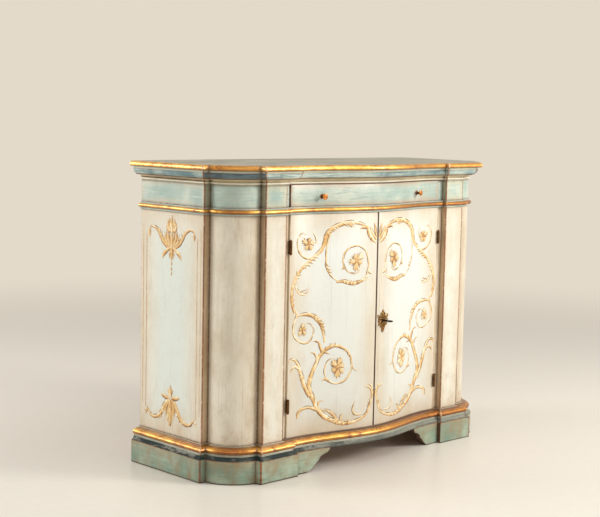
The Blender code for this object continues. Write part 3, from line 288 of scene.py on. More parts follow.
def lacquer(
    name, pale, deep, stain, streak="z", edge=None, warm=None, cool=None, strength=1.0, rough=0.42, meeting=0,
    lower=None, rub=(0.0030, 0.55), reach=0.075, rim=0.55, arrises=(), wide=0.0042, smear=0.0,
):
    """Aged brushed lacquer over gesso and a red-brown ground, worn at its edges, and darkened in its corners
    by grime and painted shade.

    Edge is a box_edge's kind and limits. Warm lies along it, over the reach, and cool lies inside. Lower is a
    line at the foot: where it starts to fade out, where it ends, its paint and how well it holds. It grows
    fainter towards +X as painted shade, and on the plinth it is painted shadow at the floor."""
    graph = Graph(name)
    grain = STREAKS[streak]
    mottle = graph.noise((7, 7, 5), 5.0, 0.6, 0.4)
    strokes = graph.noise(grain, 5.0, 0.7, 0.2)
    hairs = graph.noise([3.2 * value for value in grain], 3.0, 0.6, 0.1, (0.7, 0.2, 0.9))
    patches = graph.noise(PATCHES[streak], 6.0, 0.7, 0.25, (3.1, 1.7, 0.4))
    graph.layer(mottle.step(0.32, 0.68), deep, pale)
    graph.layer(strokes.step(0.48, 0.70, 0.0, 0.75 * strength), deep)
    graph.layer(strokes.step(0.44, 0.28, 0.0, 0.7 * strength), pale)
    graph.layer(hairs.step(0.58, 0.76, 0.0, 0.55 * strength), stain)
    graph.layer(patches.step(0.55, 0.78, 0.0, 0.5 * strength), stain)
    if edge:
        distance = box_edge(graph, *edge)
        if cool:
            graph.layer(distance.step(*COOL_ZONE, 0.0, 0.75), cool)
        graph.layer(distance.step(reach, 0.0, 0.0, rim) * patches.step(0.3, 0.6, 0.35, 1.0), warm)
    if smear:
        low = graph.axes["Z"].step(CASE_Z + SMEAR_HEIGHT, CASE_Z, 0.35 * smear, smear)
        graph.layer(graph.noise((24, 24, 19), 5.0, 0.66, 0.3, (6.2, 4.4, 1.3)).step(0.44, 0.72) * low, stain)
    film = graph.cracks(46, 0.045) * mottle.step(0.4, 0.62)
    graph.layer(film * (0.12 * strength), stain)
    fine_grain = [2.0 * value if value > 50 else 0.6 * value for value in grain]
    scratches = graph.noise(fine_grain, 2.0, 0.5, 0.3, (5, 2, 8))
    graph.layer(scratches.step(0.66, 0.74, 0.0, 0.32 * strength), (0.60, 0.48, 0.36))
    graph.layer(graph.noise(420, 2.0, 0.6).step(0.69, 0.78, 0.0, 0.35), (0.42, 0.30, 0.20))
    broken = graph.noise(70, 5.0, 0.7, 0.5)
    # Inner corners and the zones next to the mouldings darken: grime, and painted shade in these creases
    graph.layer(graph.attribute("dirt_and_shade") * broken.step(0.25, 0.6, 0.45, 1.0), (0.42, 0.34, 0.26))
    worn = graph.attribute("worn") * broken.step(0.30, 0.58, 0.35, 1.0)
    if edge:
        worn = worn.most(distance.step(rub[0], EDGE_FADE) * broken.step(0.38, 0.60) * rub[1])
    if arrises:
        worn = worn.most(near_arrises(graph, arrises, wide) * broken.step(0.26, 0.50, 0.25, 1.0))
    colour = graph.colour
    graph.layer(strokes.step(0.4, 0.6), (0.42, 0.24, 0.13), (0.64, 0.37, 0.19))
    graph.layer(worn * 0.9, graph.colour, colour)
    dull = worn
    # The doors' meeting edges carry a dark line: worn edges and the painted shadow of the gap between the
    # doors
    if meeting:
        middle = abs(graph.axes["X"]).step(meeting, 0.6 * meeting, 0.0, 0.96)
        graph.layer(middle, (0.21, 0.085, 0.035))
        dull = dull.most(middle)
    # A line at the foot, fainter towards +X as painted shade; on the plinth it is painted shadow at the floor
    if lower:
        bottom, top, paint, hold = lower
        level = (strokes - 0.5) * BRUSH_WANDER + graph.axes["Z"]
        cover = level.step(bottom, top, 1.0, 0.0) * patches.step(0.66, 0.46, hold, 1.0)
        cover = cover * graph.axes["X"].step(*FOOT_LINE_SHADE_X, 1.0, hold)
        graph.layer(cover, paint)
        dull = dull.most(cover)
    return graph.finish(
        strokes * 0.5 - film * 0.6 - worn * 0.8, 0.35, 0.0004,
        roughness=mottle.step(0.25, 0.75, rough - 0.06, rough + 0.14).most(dull * 0.95),
        coat_weight=0.18 - dull * 0.18, coat_roughness=0.28,
    )


def gilding(name, shade=1.0):
    """Leaf rubbed through to a red-brown bole in places. Shade makes a darker copy, painted shade laid below
    the mouldings' noses and on the upper part of the base's torus.
    """

    def shaded(red, green, blue):
        return (red * shade, green * shade**1.3, blue * shade**1.6)

    graph = Graph(name)
    cloud = graph.noise((24, 24, 30), 6.0, 0.65, 0.6)
    fine = graph.noise((160, 160, 240), 4.0, 0.6, 0.3)
    rub = (fine * 0.45 + cloud * 0.75).step(0.61, 0.80)
    graph.layer(cloud.step(0.3, 0.65), shaded(0.81, 0.55, 0.20), shaded(0.94, 0.75, 0.38))
    graph.layer(rub, shaded(0.52, 0.27, 0.09))
    # Painted shade: the gilding is darker towards +X and lower down, and at the column fronts, where it is
    # also rubbed
    rubbed = near_arrises(graph, COLUMN_FRONTS, GILDING_RUB_AND_SHADE_REACH) * 0.62
    rub_and_painted_shade = graph.axes["X"].step(*GILDING_SHADE_X, 0.0, 0.62).most(rubbed)
    rub_and_painted_shade = rub_and_painted_shade * graph.axes["Z"].step(*GILDING_SHADE_Z, 0.45, 1.0) * cloud.step(0.60, 0.45, 0.30, 1.25)
    graph.layer(rub_and_painted_shade, shaded(0.57, 0.27, 0.08))
    broken = graph.noise(90, 5.0, 0.7, 0.5)
    worn = graph.attribute("worn") * broken.step(0.36, 0.56, 0.2, 1.0)
    # Inner corners of the gilding darken: grime and painted shade
    dirt_and_shade = graph.attribute("dirt_and_shade") * broken.step(0.2, 0.5, 0.6, 1.0)
    graph.layer(worn * 0.75, (0.88, 0.72, 0.56))
    graph.layer(dirt_and_shade, (0.36, 0.20, 0.09))
    dull = dirt_and_shade.most(worn).most(rub * 0.75)
    return graph.finish(
        cloud + fine * 0.30, 0.22, 0.0005,
        metallic=0.80 - dull * 0.65, roughness=dull * 0.15 + fine.step(0.3, 0.7, 0.38, 0.50),
        coat_weight=0.55, coat_roughness=0.20,
    )


def wood(name, pale, deep, along):
    graph = Graph(name)
    scale = [2.2 if axis == along else 34 for axis in "xyz"]
    figure = graph.noise(scale, 4.0, 0.6, 1.1)
    rings = graph.math("FRACT", figure * 7.0, 0.0)
    fibre = graph.noise([9 * value for value in scale], 3.0, 0.6)
    graph.layer(rings.step(0.1, 0.9), deep, pale)
    graph.layer(fibre.step(0.5, 0.72, 0.0, 0.5), (0.34, 0.22, 0.13))
    graph.layer(graph.noise(4, 4.0, 0.6).step(0.45, 0.75, 0.0, 0.35), (0.40, 0.29, 0.20))
    graph.layer(graph.attribute("worn") * 0.3, (0.36, 0.25, 0.16))
    return graph.finish(rings * 0.3 + fibre, 0.25, 0.0004, roughness=fibre.step(0.3, 0.7, 0.52, 0.72))


def metal(name, bright, dark, patina, rough=0.34, metallic=1.0, grime=0.6):
    graph = Graph(name)
    cloud = graph.noise(210, 5.0, 0.65, 0.5)
    fine = graph.noise(900, 3.0, 0.6)
    film = (cloud.step(0.42, 0.62, 0.0, grime) - graph.attribute("worn") * 0.5).most(0.0)
    film = film.most(graph.attribute("dirt_and_shade"))
    graph.layer(cloud.step(0.35, 0.65), dark, bright)
    graph.layer(film, patina)
    return graph.finish(
        cloud + fine, 0.22, 0.0002,
        metallic=metallic - film * 0.55,
        roughness=film * 0.25 + fine.step(0.3, 0.7, rough - 0.06, rough + 0.1),
    )


def scroll_paint(name):
    """Ochre and gold body colour, shaded from sepia to straw by the tone that each stroke carries."""
    graph = Graph(name)
    broken = graph.noise(120, 4.0, 0.65, 0.4)
    loads = graph.noise(26, 3.0, 0.55, 0.6, (4.0, 1.0, 2.0))
    tone = graph.attribute("tone") + broken.step(0.25, 0.75, -0.13, 0.13)
    tone = tone + loads.step(0.30, 0.70, -0.20, 0.14)
    # The ramp's first two stops are its ends
    stops = [(0.0, (0.40, 0.24, 0.11)), (1.0, (0.98, 0.95, 0.84)), (0.20, (0.62, 0.38, 0.17))]
    stops += [(0.35, (0.80, 0.55, 0.23)), (0.48, (0.86, 0.67, 0.38)), (0.74, (0.935, 0.81, 0.57))]
    graph.ramp(tone, stops)
    graph.layer(graph.noise(260, 4.0, 0.7, 0.5).step(0.50, 0.68, 0.0, 0.50), (0.92, 0.90, 0.82))
    return graph.finish(broken, 0.3, 0.0003, roughness=0.42, coat_weight=0.15, coat_roughness=0.3)


CREAM = dict(pale=(0.925, 0.912, 0.86), deep=(0.87, 0.845, 0.775), stain=(0.76, 0.66, 0.54))
GREEN = dict(pale=(0.82, 0.855, 0.80), deep=(0.62, 0.72, 0.685), stain=(0.80, 0.73, 0.63))
PLINTH = dict(pale=(0.685, 0.74, 0.65), deep=(0.465, 0.57, 0.50), stain=(0.60, 0.50, 0.36))
WARM = (0.86, 0.78, 0.65)
FAR = 2.0  # a limit past every edge
COLUMN_LAND_X = 0.462
SIDE_ZONE = ("Y", CORNER_Y, BACK_Y)
STILE_ZONE = ("X", STILE_STEP_X, STILE_OUTER_X)

m_door = lacquer(
    "door_lacquer", (0.90, 0.895, 0.855), (0.855, 0.835, 0.775), (0.76, 0.67, 0.56),
    edge=("X", DOOR_MEETING_X, DOOR_EDGE_X, DOOR_BOTTOM_Z, DOOR_TOP_Z),
    warm=WARM, cool=(0.905, 0.918, 0.895), meeting=0.0042, rub=(0.0020, 0.30),
)
m_door_side = lacquer("door_side_lacquer", (0.93, 0.89, 0.78), (0.86, 0.79, 0.66), (0.76, 0.64, 0.50))
m_side = lacquer(
    "side_lacquer", **CREAM, edge=(*SIDE_ZONE, CASE_Z, WAIST_Z),
    warm=WARM, cool=(0.875, 0.915, 0.885), arrises=CASE_ARRISES, smear=0.25,
)
# The column's warm band, darker towards its stile, is painted shade
m_column = lacquer(
    "column_lacquer", (0.94, 0.91, 0.84), (0.865, 0.82, 0.73), (0.73, 0.62, 0.47),
    edge=("X", COLUMN_LAND_X, FAR, -FAR, FAR),
    warm=(0.73, 0.65, 0.53), reach=0.085, rim=0.8, strength=0.8, rub=(0.0001, 0.0), smear=0.5,
)
m_stile = lacquer(
    "stile_lacquer", **CREAM, edge=(*STILE_ZONE, CASE_Z, WAIST_Z),
    warm=WARM, strength=1.25, reach=0.040, arrises=CASE_ARRISES, wide=0.0058, smear=0.5,
)
m_taupe = lacquer(
    "groove_paint", (0.83, 0.725, 0.59), (0.74, 0.62, 0.48), (0.50, 0.40, 0.29),
    strength=0.8, arrises=CASE_ARRISES, wide=0.0034,
)
m_olive = lacquer(
    "frieze_groove_paint", (0.71, 0.70, 0.60), (0.60, 0.60, 0.51), (0.45, 0.40, 0.33),
    strength=0.8, arrises=CASE_ARRISES,
)
m_frieze = lacquer("frieze_lacquer", **GREEN, streak="xy", strength=1.2)
m_frieze_stile = lacquer(
    "stile_frieze_lacquer", **GREEN, streak="xy", edge=(*STILE_ZONE, DRAWER_Z, CORNICE_Z),
    warm=(0.84, 0.77, 0.62), strength=1.2, reach=0.030, arrises=CASE_ARRISES, wide=0.0034,
)
m_frieze_side = lacquer(
    "side_frieze_lacquer", **GREEN, streak="xy", edge=(*SIDE_ZONE, DRAWER_Z, CORNICE_Z),
    warm=(0.84, 0.78, 0.68), strength=1.4, reach=0.026, arrises=CASE_ARRISES, wide=0.0050,
)
# Dark brown for the drawer's sides and the doors' free edges: brown edge paint with the painted shadow of the
# gaps they stand in
m_gap_edge_shade = lacquer("gap_edge_shade_lacquer", (0.56, 0.45, 0.36), (0.43, 0.34, 0.26), (0.36, 0.27, 0.19))
m_drawer = lacquer(
    "drawer_lacquer", **GREEN, streak="x", edge=("X", -FAR, DRAWER_EDGE_X, DRAWER_Z, CORNICE_Z),
    warm=(0.82, 0.66, 0.54), strength=1.3, reach=0.020, rim=0.6,
)
# The plinth's dark line at its foot is painted shadow at the floor
m_plinth = lacquer(
    "plinth_lacquer", **PLINTH, streak="xy", edge=("X", -FAR, FAR, -FAR, BASE_Z),
    warm=(0.62, 0.52, 0.38), strength=1.4, lower=(0.0018, 0.0050, (0.28, 0.19, 0.12), 0.85),
    rub=(0.0050, 1.1), reach=0.045, arrises=PLINTH_ARRISES, wide=0.0064, smear=0.75,
)
# Sawn edges and undersides of the brackets: bare end grain, darkened as painted shade
m_sawn_edge_shade = lacquer("bracket_edge_and_shade", (0.40, 0.28, 0.18), (0.27, 0.185, 0.12), (0.50, 0.34, 0.20), "xy")
# Slate paint of the line over the gilding under the doors, darkened to take in the painted shadow of the
# doors' gap
m_slate = lacquer(
    "slate_lacquer", (0.30, 0.37, 0.39), (0.17, 0.24, 0.27), (0.32, 0.26, 0.20), "xy", strength=1.2
)
# The dark band low in the cove is slate paint, laid darker on the left as painted shade
m_base_cove = lacquer(
    "base_cove_lacquer", (0.80, 0.79, 0.70), (0.61, 0.62, 0.55), (0.46, 0.36, 0.26), "xy",
    strength=1.5, lower=(BASE_Z + 0.0104, BASE_Z + 0.0132, (0.17, 0.215, 0.21), 0.50),
)
# The cornice's ovolo round the columns: painted shade
m_ovolo_shade = lacquer(
    "column_ovolo_painted_shade", (0.46, 0.56, 0.60), (0.19, 0.26, 0.29), (0.33, 0.31, 0.28), "xy", strength=1.4
)
# Brown lines at the cornice's bead and ovolo, and at its foot on the fronts: worn edges, darkened as painted
# shade under the overhangs
m_worn_and_shaded_line = lacquer(
    "worn_and_shaded_line", (0.50, 0.36, 0.24), (0.31, 0.215, 0.14), (0.24, 0.16, 0.10), "xy", strength=1.2
)
m_cove = lacquer("bead_lacquer", (0.95, 0.93, 0.86), (0.87, 0.85, 0.76), (0.70, 0.60, 0.48), "xy")
m_hollow = lacquer("hollow_lacquer", (0.87, 0.815, 0.69), (0.73, 0.68, 0.55), (0.54, 0.45, 0.31), "xy")
m_blue = lacquer(
    "blue_lacquer", (0.79, 0.85, 0.81), (0.37, 0.505, 0.535), (0.45, 0.48, 0.44), "xy", strength=1.8
)
m_fillet = lacquer("fillet_lacquer", (0.85, 0.85, 0.76), (0.73, 0.76, 0.69), (0.66, 0.56, 0.43), "xy")
m_top = lacquer(
    "top_lacquer", (0.565, 0.555, 0.485), (0.50, 0.498, 0.437), (0.48, 0.40, 0.31), "x", rough=0.36
)
m_gilt = gilding("rubbed_gilding")
# A darker copy of the gilding, laid as painted shade
m_gilt_painted_shade = gilding("painted_shade_gilding", 0.80)
m_scroll = scroll_paint("scroll_paint")
m_wood = wood("case_wood", (0.70, 0.55, 0.38), (0.58, 0.42, 0.27), "x")
m_wood_up = wood("upright_wood", (0.70, 0.55, 0.38), (0.58, 0.42, 0.27), "z")
m_wood_back = wood("drawer_wood", (0.74, 0.60, 0.43), (0.63, 0.48, 0.32), "y")
m_brass = metal("dark_brass", (0.72, 0.55, 0.32), (0.55, 0.39, 0.20), (0.22, 0.15, 0.09))
m_plate = metal("plate_brass", (0.54, 0.40, 0.22), (0.36, 0.25, 0.14), (0.17, 0.12, 0.07), 0.42, grime=0.8)
m_ribs = metal("rib_brass", (0.84, 0.66, 0.40), (0.66, 0.48, 0.26), (0.34, 0.23, 0.13), 0.34, grime=0.5)
m_hinge = metal("hinge_brass", (0.52, 0.38, 0.22), (0.32, 0.22, 0.12), (0.17, 0.11, 0.06), 0.40)
m_knob = metal("knob_brass", (0.88, 0.58, 0.30), (0.74, 0.44, 0.20), (0.24, 0.15, 0.08), 0.28, grime=0.3)
m_iron = metal("burnished_iron", (0.26, 0.20, 0.16), (0.17, 0.13, 0.10), (0.10, 0.075, 0.055), 0.42, 0.6)


# Shapes


def new_object(name, bm, materials, smooth=32):
    bmesh.ops.recalc_face_normals(bm, faces=bm.faces)
    mesh = bpy.data.meshes.new(name)
    bm.to_mesh(mesh)
    bm.free()
    for material in materials:
        mesh.materials.append(material)
    obj = bpy.data.objects.new(name, mesh)
    bpy.context.scene.collection.objects.link(obj)
    mesh.shade_smooth()
    mesh.set_sharp_from_angle(angle=math.radians(smooth))
    return obj


def stand_for(obj, node):
    """Rides where the replaced node rides, and hides that node."""
    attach(obj, body_of_node[node])
    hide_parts(node)
    return obj


def wear_layers(bm):
    return bm.verts.layers.float.new("worn"), bm.verts.layers.float.new("dirt_and_shade")


def skin(bm, rings, pick=None, closed=True):
    """Faces from each ring to the next. Pick gives a face's material for its ring and its place in it."""
    for number, (ring, other) in enumerate(zip(rings, rings[1:])):
        count = len(ring)
        for here in range(count if closed else count - 1):
            there = (here + 1) % count
            face = bm.faces.new((ring[here], ring[there], other[there], other[here]))
            if pick:
                face.material_index = pick(number, here)


def cap(bm, rings, material=0):
    for ring in (rings[0], rings[-1]):
        bm.faces.new(ring).material_index = material


def split_large_faces(bm):
    bmesh.ops.triangulate(bm, faces=[face for face in bm.faces if len(face.verts) > 4])


# How far the edges of the solids are eased
PAINTED_BEVEL = 0.0007
PLINTH_BEVEL = 0.0010
RAIL_BEVEL = 0.0005
BOARD_BEVEL = 0.0008
THIN_BOARD_BEVEL = 0.0006
HINGE_BEVEL = 0.00018
KEY_BEVEL = 0.00025
FITTING_BEVEL = 0.0003
LOCK_CASE_BEVEL = 0.0004
WELD = 0.00001


def dress(node, materials, bevel, smooth=32, pick=None, wear=1.0):
    """A node's own solid with its sharp edges eased. Pick chooses the material of each face."""
    bm = bmesh.new()
    bm.from_mesh(nodes[node].data)
    for face in bm.faces:
        face.material_index = 0
    bmesh.ops.remove_doubles(bm, verts=bm.verts, dist=WELD)
    bmesh.ops.dissolve_limit(bm, angle_limit=math.radians(0.8), verts=bm.verts, edges=bm.edges)
    bm.normal_update()
    worn = bm.loops.layers.float.new("worn")
    sharp = math.radians(40)
    edges = [edge for edge in bm.edges if len(edge.link_faces) == 2 and edge.is_convex]
    edges = [edge for edge in edges if edge.calc_face_angle() > sharp]
    made = bmesh.ops.bevel(
        bm, geom=edges, offset=bevel, segments=2, profile=0.5, affect="EDGES", clamp_overlap=True
    )
    for face in made["faces"]:
        for loop in face.loops:
            loop[worn] = wear
    if pick:
        bm.normal_update()
        for face in bm.faces:
            face.material_index = pick(face)
    split_large_faces(bm)
    return stand_for(new_object(node + "_dressed", bm, materials, smooth), node)


def bow_y(x):
    share = min(abs(x), BOW_HALF_WIDTH) / BOW_HALF_WIDTH
    return STILE_Y - BOW_RISE + (BOW_RISE + BOW_FALL) * (1 - math.cos(math.pi * share)) / 2


def on_arc(offset, share):
    """A point of the column's face, or of a curve that runs outside it."""
    radius = COLUMN_RADIUS + offset
    rise = CORNER_Y - offset - COLUMN_Y
    run = COLUMN_X - STILE_OUTER_X - offset
    first = math.atan2(rise, -math.sqrt(radius**2 - rise**2)) % (2 * math.pi)
    last = math.atan2(-math.sqrt(radius**2 - run**2), run) % (2 * math.pi)
    turn = first + (last - first) * share
    return (radius * math.cos(turn) - COLUMN_X, radius * math.sin(turn) + COLUMN_Y)


def plan_point(offset, run, share):
    """A point of the left half's outline. Its runs go from the back, round the column, to the middle."""
    if run == "column":
        return on_arc(offset, share)
    if run == "bow":
        x = -BOW_HALF_WIDTH * (1 - share)
        return (x, bow_y(x) - offset)
    side = -HALF_WIDTH - offset
    step_x = offset - STILE_STEP_X
    face_y = STILE_Y - offset
    start, end = {
        "side": ((side, BACK_Y), (side, CORNER_Y - offset)),
        "inner": ((side, CORNER_Y - offset), on_arc(offset, 0)),
        "outer": (on_arc(offset, 1), (-STILE_OUTER_X - offset, face_y)),
        "stile": ((-STILE_OUTER_X - offset, face_y), (step_x, face_y)),
        "step": ((step_x, face_y), (step_x, BOW_END_Y - offset)),
        "strip": ((step_x, BOW_END_Y - offset), (-BOW_HALF_WIDTH, BOW_END_Y - offset)),
    }[run]
    return tuple(one + (other - one) * share for one, other in zip(start, end))


EASE = 0.0005  # how far an arris is eased on each side
PROFILE_EASE = 0.00035
PROFILE_FADE = 0.0013
# How worn an outer corner of the plan is, and how much grime and painted shade an inner one shows, at
# distances from it
OUTER_WEAR = ((EASE, 1.0), (0.0022, 0.75), (0.0045, 0.0))
INNER_DIRT_AND_SHADE = ((EASE, 0.95), (0.0030, 0.60), (0.0080, 0.22), (0.0150, 0.0))
SHORT_RUN = 0.02
COLUMN_LENGTH = 0.150
SAME_PLACE = 0.0004
RUNS = {
    # length, corner at its start, corner at its end, steps between
    "side": (BACK_Y - CORNER_Y, None, "out", 8),
    "inner": (SIDE_THICKNESS, "out", "in", 3),
    "column": (COLUMN_LENGTH, "in", "in", 30),
    "outer": (SIDE_THICKNESS, "in", "out", 3),
    "stile": (STILE_OUTER_X - STILE_STEP_X, "out", "out", 4),
    "step": (BOW_FALL, "out", "in", 2),
    "strip": (STILE_STEP_X - BOW_HALF_WIDTH, "in", None, 3),
    "bow": (BOW_HALF_WIDTH, None, None, 30),
}


def run_shares(run):
    """Places along a run, as shares of it, with what each shows of wear, or of grime and painted shade."""
    length, first, last, steps = RUNS[run]
    places, reaches = [], []
    for kind, place in ((first, lambda d: d / length), (last, lambda d: 1 - d / length)):
        inner = INNER_DIRT_AND_SHADE if length > SHORT_RUN else OUTER_WEAR
        marks = {"out": OUTER_WEAR, "in": inner, None: ()}[kind]
        places += [(place(distance), weight, kind) for distance, weight in marks]
        reaches.append(marks[-1][0] / length if marks else 0.0)
    low, high = reaches[0], 1 - reaches[1]
    for step in range(steps + 1 if high > low else 0):
        share = low + (high - low) * step / steps
        if all(abs(share - place[0]) > SAME_PLACE / length for place in places):
            places.append((share, 0.0, None))
    return sorted(places, key=lambda place: place[0])


def worn_dirty_and_shaded(weight, kind):
    return [weight if kind == way else 0.0 for way in ("out", "in")]


def stations():
    """(run, share, side, wear, grime and painted shade) for each place of the whole outline."""
    left = []
    for run in RUNS:
        for share, weight, kind in run_shares(run):
            if (run, share) != ("bow", 0.0):
                left.append((run, share, -1, *worn_dirty_and_shaded(weight, kind)))
    right = [(run, share, 1, *rest) for run, share, _, *rest in reversed(left)]
    return left + right[1:]


STATIONS = stations()


def outline(offset):
    points = []
    for run, share, side, _, _ in STATIONS:
        x, y = plan_point(offset, run, share)
        points.append((-side * x, y))
    return points


def inner_outline():
    return [(max(-FRAME_INNER_X, min(FRAME_INNER_X, x)), max(FRAME_INNER_Y, y)) for x, y in outline(0)]


def eased(profile):
    """Splits each sharp corner of a profile in two, with its wear, or with grime and painted shade in an inner
    corner. Points are (out, z, tag).
    """
    result = []
    for place, (out, z, tag) in enumerate(profile):
        before = profile[place - 1]
        after = profile[(place + 1) % len(profile)]
        smooth = None in (out, before[0], after[0])
        if not smooth:
            corner = Vector((out, z))
            back = Vector(before[:2]) - corner
            on = Vector(after[:2]) - corner
            smooth = math.degrees(math.pi - back.angle(on)) < 30
        if smooth:
            result.append((out, z, tag, 0.0, 0.0))
            continue
        worn, dirt_and_shade = (1.0, 0.0) if back.x * on.y < back.y * on.x else (0.0, 1.0)
        if tag == "green":
            worn, dirt_and_shade = 0.3 * worn, 0.5 * dirt_and_shade
        reach = min(PROFILE_EASE, back.length / 3, on.length / 3)
        for way, kind in ((back, before[2]), (on, tag)):
            near = corner + way.normalized() * reach
            far = corner + way.normalized() * min(PROFILE_FADE, way.length / 2.2)
            pair = [(near.x, near.y, kind, worn, dirt_and_shade), (far.x, far.y, kind, 0.0, 0.0)]
            result += pair if way is on else pair[::-1]
    return result


def quarter(start, end, tag, hollow=False, steps=8):
    """A quarter round from start to end, without its start."""
    (out0, z0), (out1, z1) = start, end
    points = []
    for step in range(1, steps + 1):
        turn = math.pi / 2 * step / steps
        level, upright = 1 - math.cos(turn), math.sin(turn)
        if hollow:
            level, upright = upright, level
        points.append((out0 + (out1 - out0) * level, z0 + (z1 - z0) * upright, tag))
    return points


def tagged(points, tag):
    return [(out, z, tag) for out, z, _ in points]


def shade_of(tag, run):
    """Painted shade: the cornice's ovolo is darker round the columns, and its foot line dark only on the
    fronts, over the drawer's gap. The slate line, slate paint with the painted shadow of the doors' gap, shows
    only under the doors.
    """
    fronts = run in ("strip", "bow")
    if tag == "blue" and run in ("inner", "column", "outer"):
        return "shade"
    if tag == "seam":
        return "line" if run == "side" else "hollow"
    if tag == "foot":
        return "line" if fronts else "soft"
    return "fillet" if tag == "slate" and not fronts else tag


MOULDING_PAINTS = {
    "wood": m_wood, "gilt": m_gilt, "low": m_gilt_painted_shade, "slate": m_slate, "fillet": m_fillet, "blue": m_blue,
    "green": m_frieze, "base": m_base_cove, "line": m_worn_and_shaded_line, "cove": m_cove, "shade": m_ovolo_shade,
    "hollow": m_hollow, "soft": m_olive,
}


def moulding(name, profile):
    """A profile carried round the case, each strip in its own finish. Out is None at the frame's inside."""
    names = list(MOULDING_PAINTS)
    points = eased(profile)
    bm = bmesh.new()
    worn_layer, dirt_layer = wear_layers(bm)
    columns = []
    for out, z, tag, worn, dirt_and_shade in points:
        column = []
        path = inner_outline() if out is None else outline(out)
        for (x, y), (*_, path_worn, path_dirt) in zip(path, STATIONS):
            vert = bm.verts.new((x, y, z))
            if out is not None:
                vert[worn_layer] = min(1.0, worn * 0.75 + path_worn)
                vert[dirt_layer] = min(1.0, dirt_and_shade * 0.85 + path_dirt * 0.7)
            column.append(vert)
        columns.append(column)

    def pick(number, step):
        return names.index(shade_of(points[number][2], STATIONS[step][0]))

    skin(bm, columns + columns[:1], pick, closed=False)
    cap(bm, list(zip(*columns)), names.index("wood"))
    bmesh.ops.remove_doubles(bm, verts=bm.verts, dist=WELD / 2)
    stand_for(new_object(name + "_fine", bm, list(MOULDING_PAINTS.values()), 38), name)


# Profiles of the mouldings: how far each point stands out of the case, and how high over the moulding's foot
BASE_COVE_TOP = (0.0240, 0.0155)
BASE_FILLET_OUT = 0.0250
TORUS_FOOT = (0.0240, 0.0180)
TORUS_NOSE = (0.0288, 0.0252)
TORUS_TOP = (0.0040, 0.0370)
WAIST_FILLET = (0.0050, 0.0050)
WAIST_BEAD_NOSE = (0.0130, 0.0115)
WAIST_BEAD_TOP = (0.0035, 0.0180)
WAIST_LOWERING = 0.0002  # keeps its top clear of the drawer's underside
CORNICE_QUIRK = (0.002, 0.003)
CORNICE_BEAD_NOSE = (0.007, 0.006)
CORNICE_BEAD_TOP = (0.002, 0.009)
CORNICE_COVE_TOP = (0.019, 0.018)
CORNICE_EDGE = (0.0217, 0.021)
CORNICE_OVOLO_OUT = 0.0325
TOP_FOOT_OUT = 0.0340
TOP_FILLET = (0.0370, 0.007)
TOP_NOSE = (0.0476, 0.0125)
TOP_EDGE_OUT = 0.0356
TOP_FACE_OUT = 0.0345  # the upper face shows no wear of the plan's corners inside this
TOP_RINGS = (0.0310, 0.0100)  # rings of its upper face, the inner one closed by a single face


def over(foot, *points):
    return [(out, foot + height) for out, height in points]


def build_base_moulding():
    foot = (PLINTH_OUT, BASE_Z + FIT)
    cove_top, torus_foot, nose, top = over(BASE_Z, BASE_COVE_TOP, TORUS_FOOT, TORUS_NOSE, TORUS_TOP)
    base = [(*foot, "base"), *quarter(foot, cove_top, "base", True)]
    base[-1] = (*cove_top, "fillet")
    # The low strips take the darker gilding as painted shade: under the torus's nose and over its upper part
    base += [(BASE_FILLET_OUT, cove_top[1], "fillet"), (*torus_foot, "low")]
    base += quarter(torus_foot, nose, "low", True, 5)
    torus = quarter(nose, top, "gilt", steps=10)
    base += torus[:5] + tagged(torus[5:], "low")
    base[-1] = (*top, "slate")
    base += [(top[0], CASE_Z, "wood"), (None, CASE_Z, "wood"), (None, foot[1], "wood")]
    moulding("base_moulding", base)


def build_waist_moulding():
    fillet, nose, bead_top = over(WAIST_Z, WAIST_FILLET, WAIST_BEAD_NOSE, WAIST_BEAD_TOP)
    # The low strips under the bead's nose take the darker gilding, as painted shade
    waist = [(FIT, WAIST_Z, "wood"), (fillet[0], WAIST_Z, "green"), (*fillet, "low")]
    under = quarter(fillet, nose, "gilt", True, 6)
    waist += tagged(under[:4], "low") + under[4:]
    waist += quarter(nose, bead_top, "gilt", False, 6)
    waist[-1] = (*bead_top, "green")
    top = DRAWER_Z - WAIST_LOWERING
    waist += [(bead_top[0], top, "wood"), (FIT, top, "wood")]
    moulding("waist_moulding", waist)


def build_cornice():
    quirk, nose, bead_top = over(CORNICE_Z, CORNICE_QUIRK, CORNICE_BEAD_NOSE, CORNICE_BEAD_TOP)
    cove_top, edge = over(CORNICE_Z, CORNICE_COVE_TOP, CORNICE_EDGE)
    crown = [(quirk[0], CORNICE_Z, "foot"), (*quirk, "cove")]
    crown += quarter(quirk, nose, "cove", True, 5) + quarter(nose, bead_top, "cove", False, 5)
    crown[-1] = (*bead_top, "seam")
    hollow = quarter(bead_top, cove_top, "hollow", False, 8)
    crown += tagged(hollow[:1], "seam") + hollow[1:-1] + [(*cove_top, "hollow")]
    crown += [(edge[0], cove_top[1], "line"), (*edge, "blue")]
    crown += quarter(edge, (CORNICE_OVOLO_OUT, TOP_Z), "blue", True, 10)
    crown[-1] = (CORNICE_OVOLO_OUT, TOP_Z, "wood")
    crown += [(None, TOP_Z, "wood"), (None, CORNICE_Z, "wood")]
    moulding("cornice", crown)


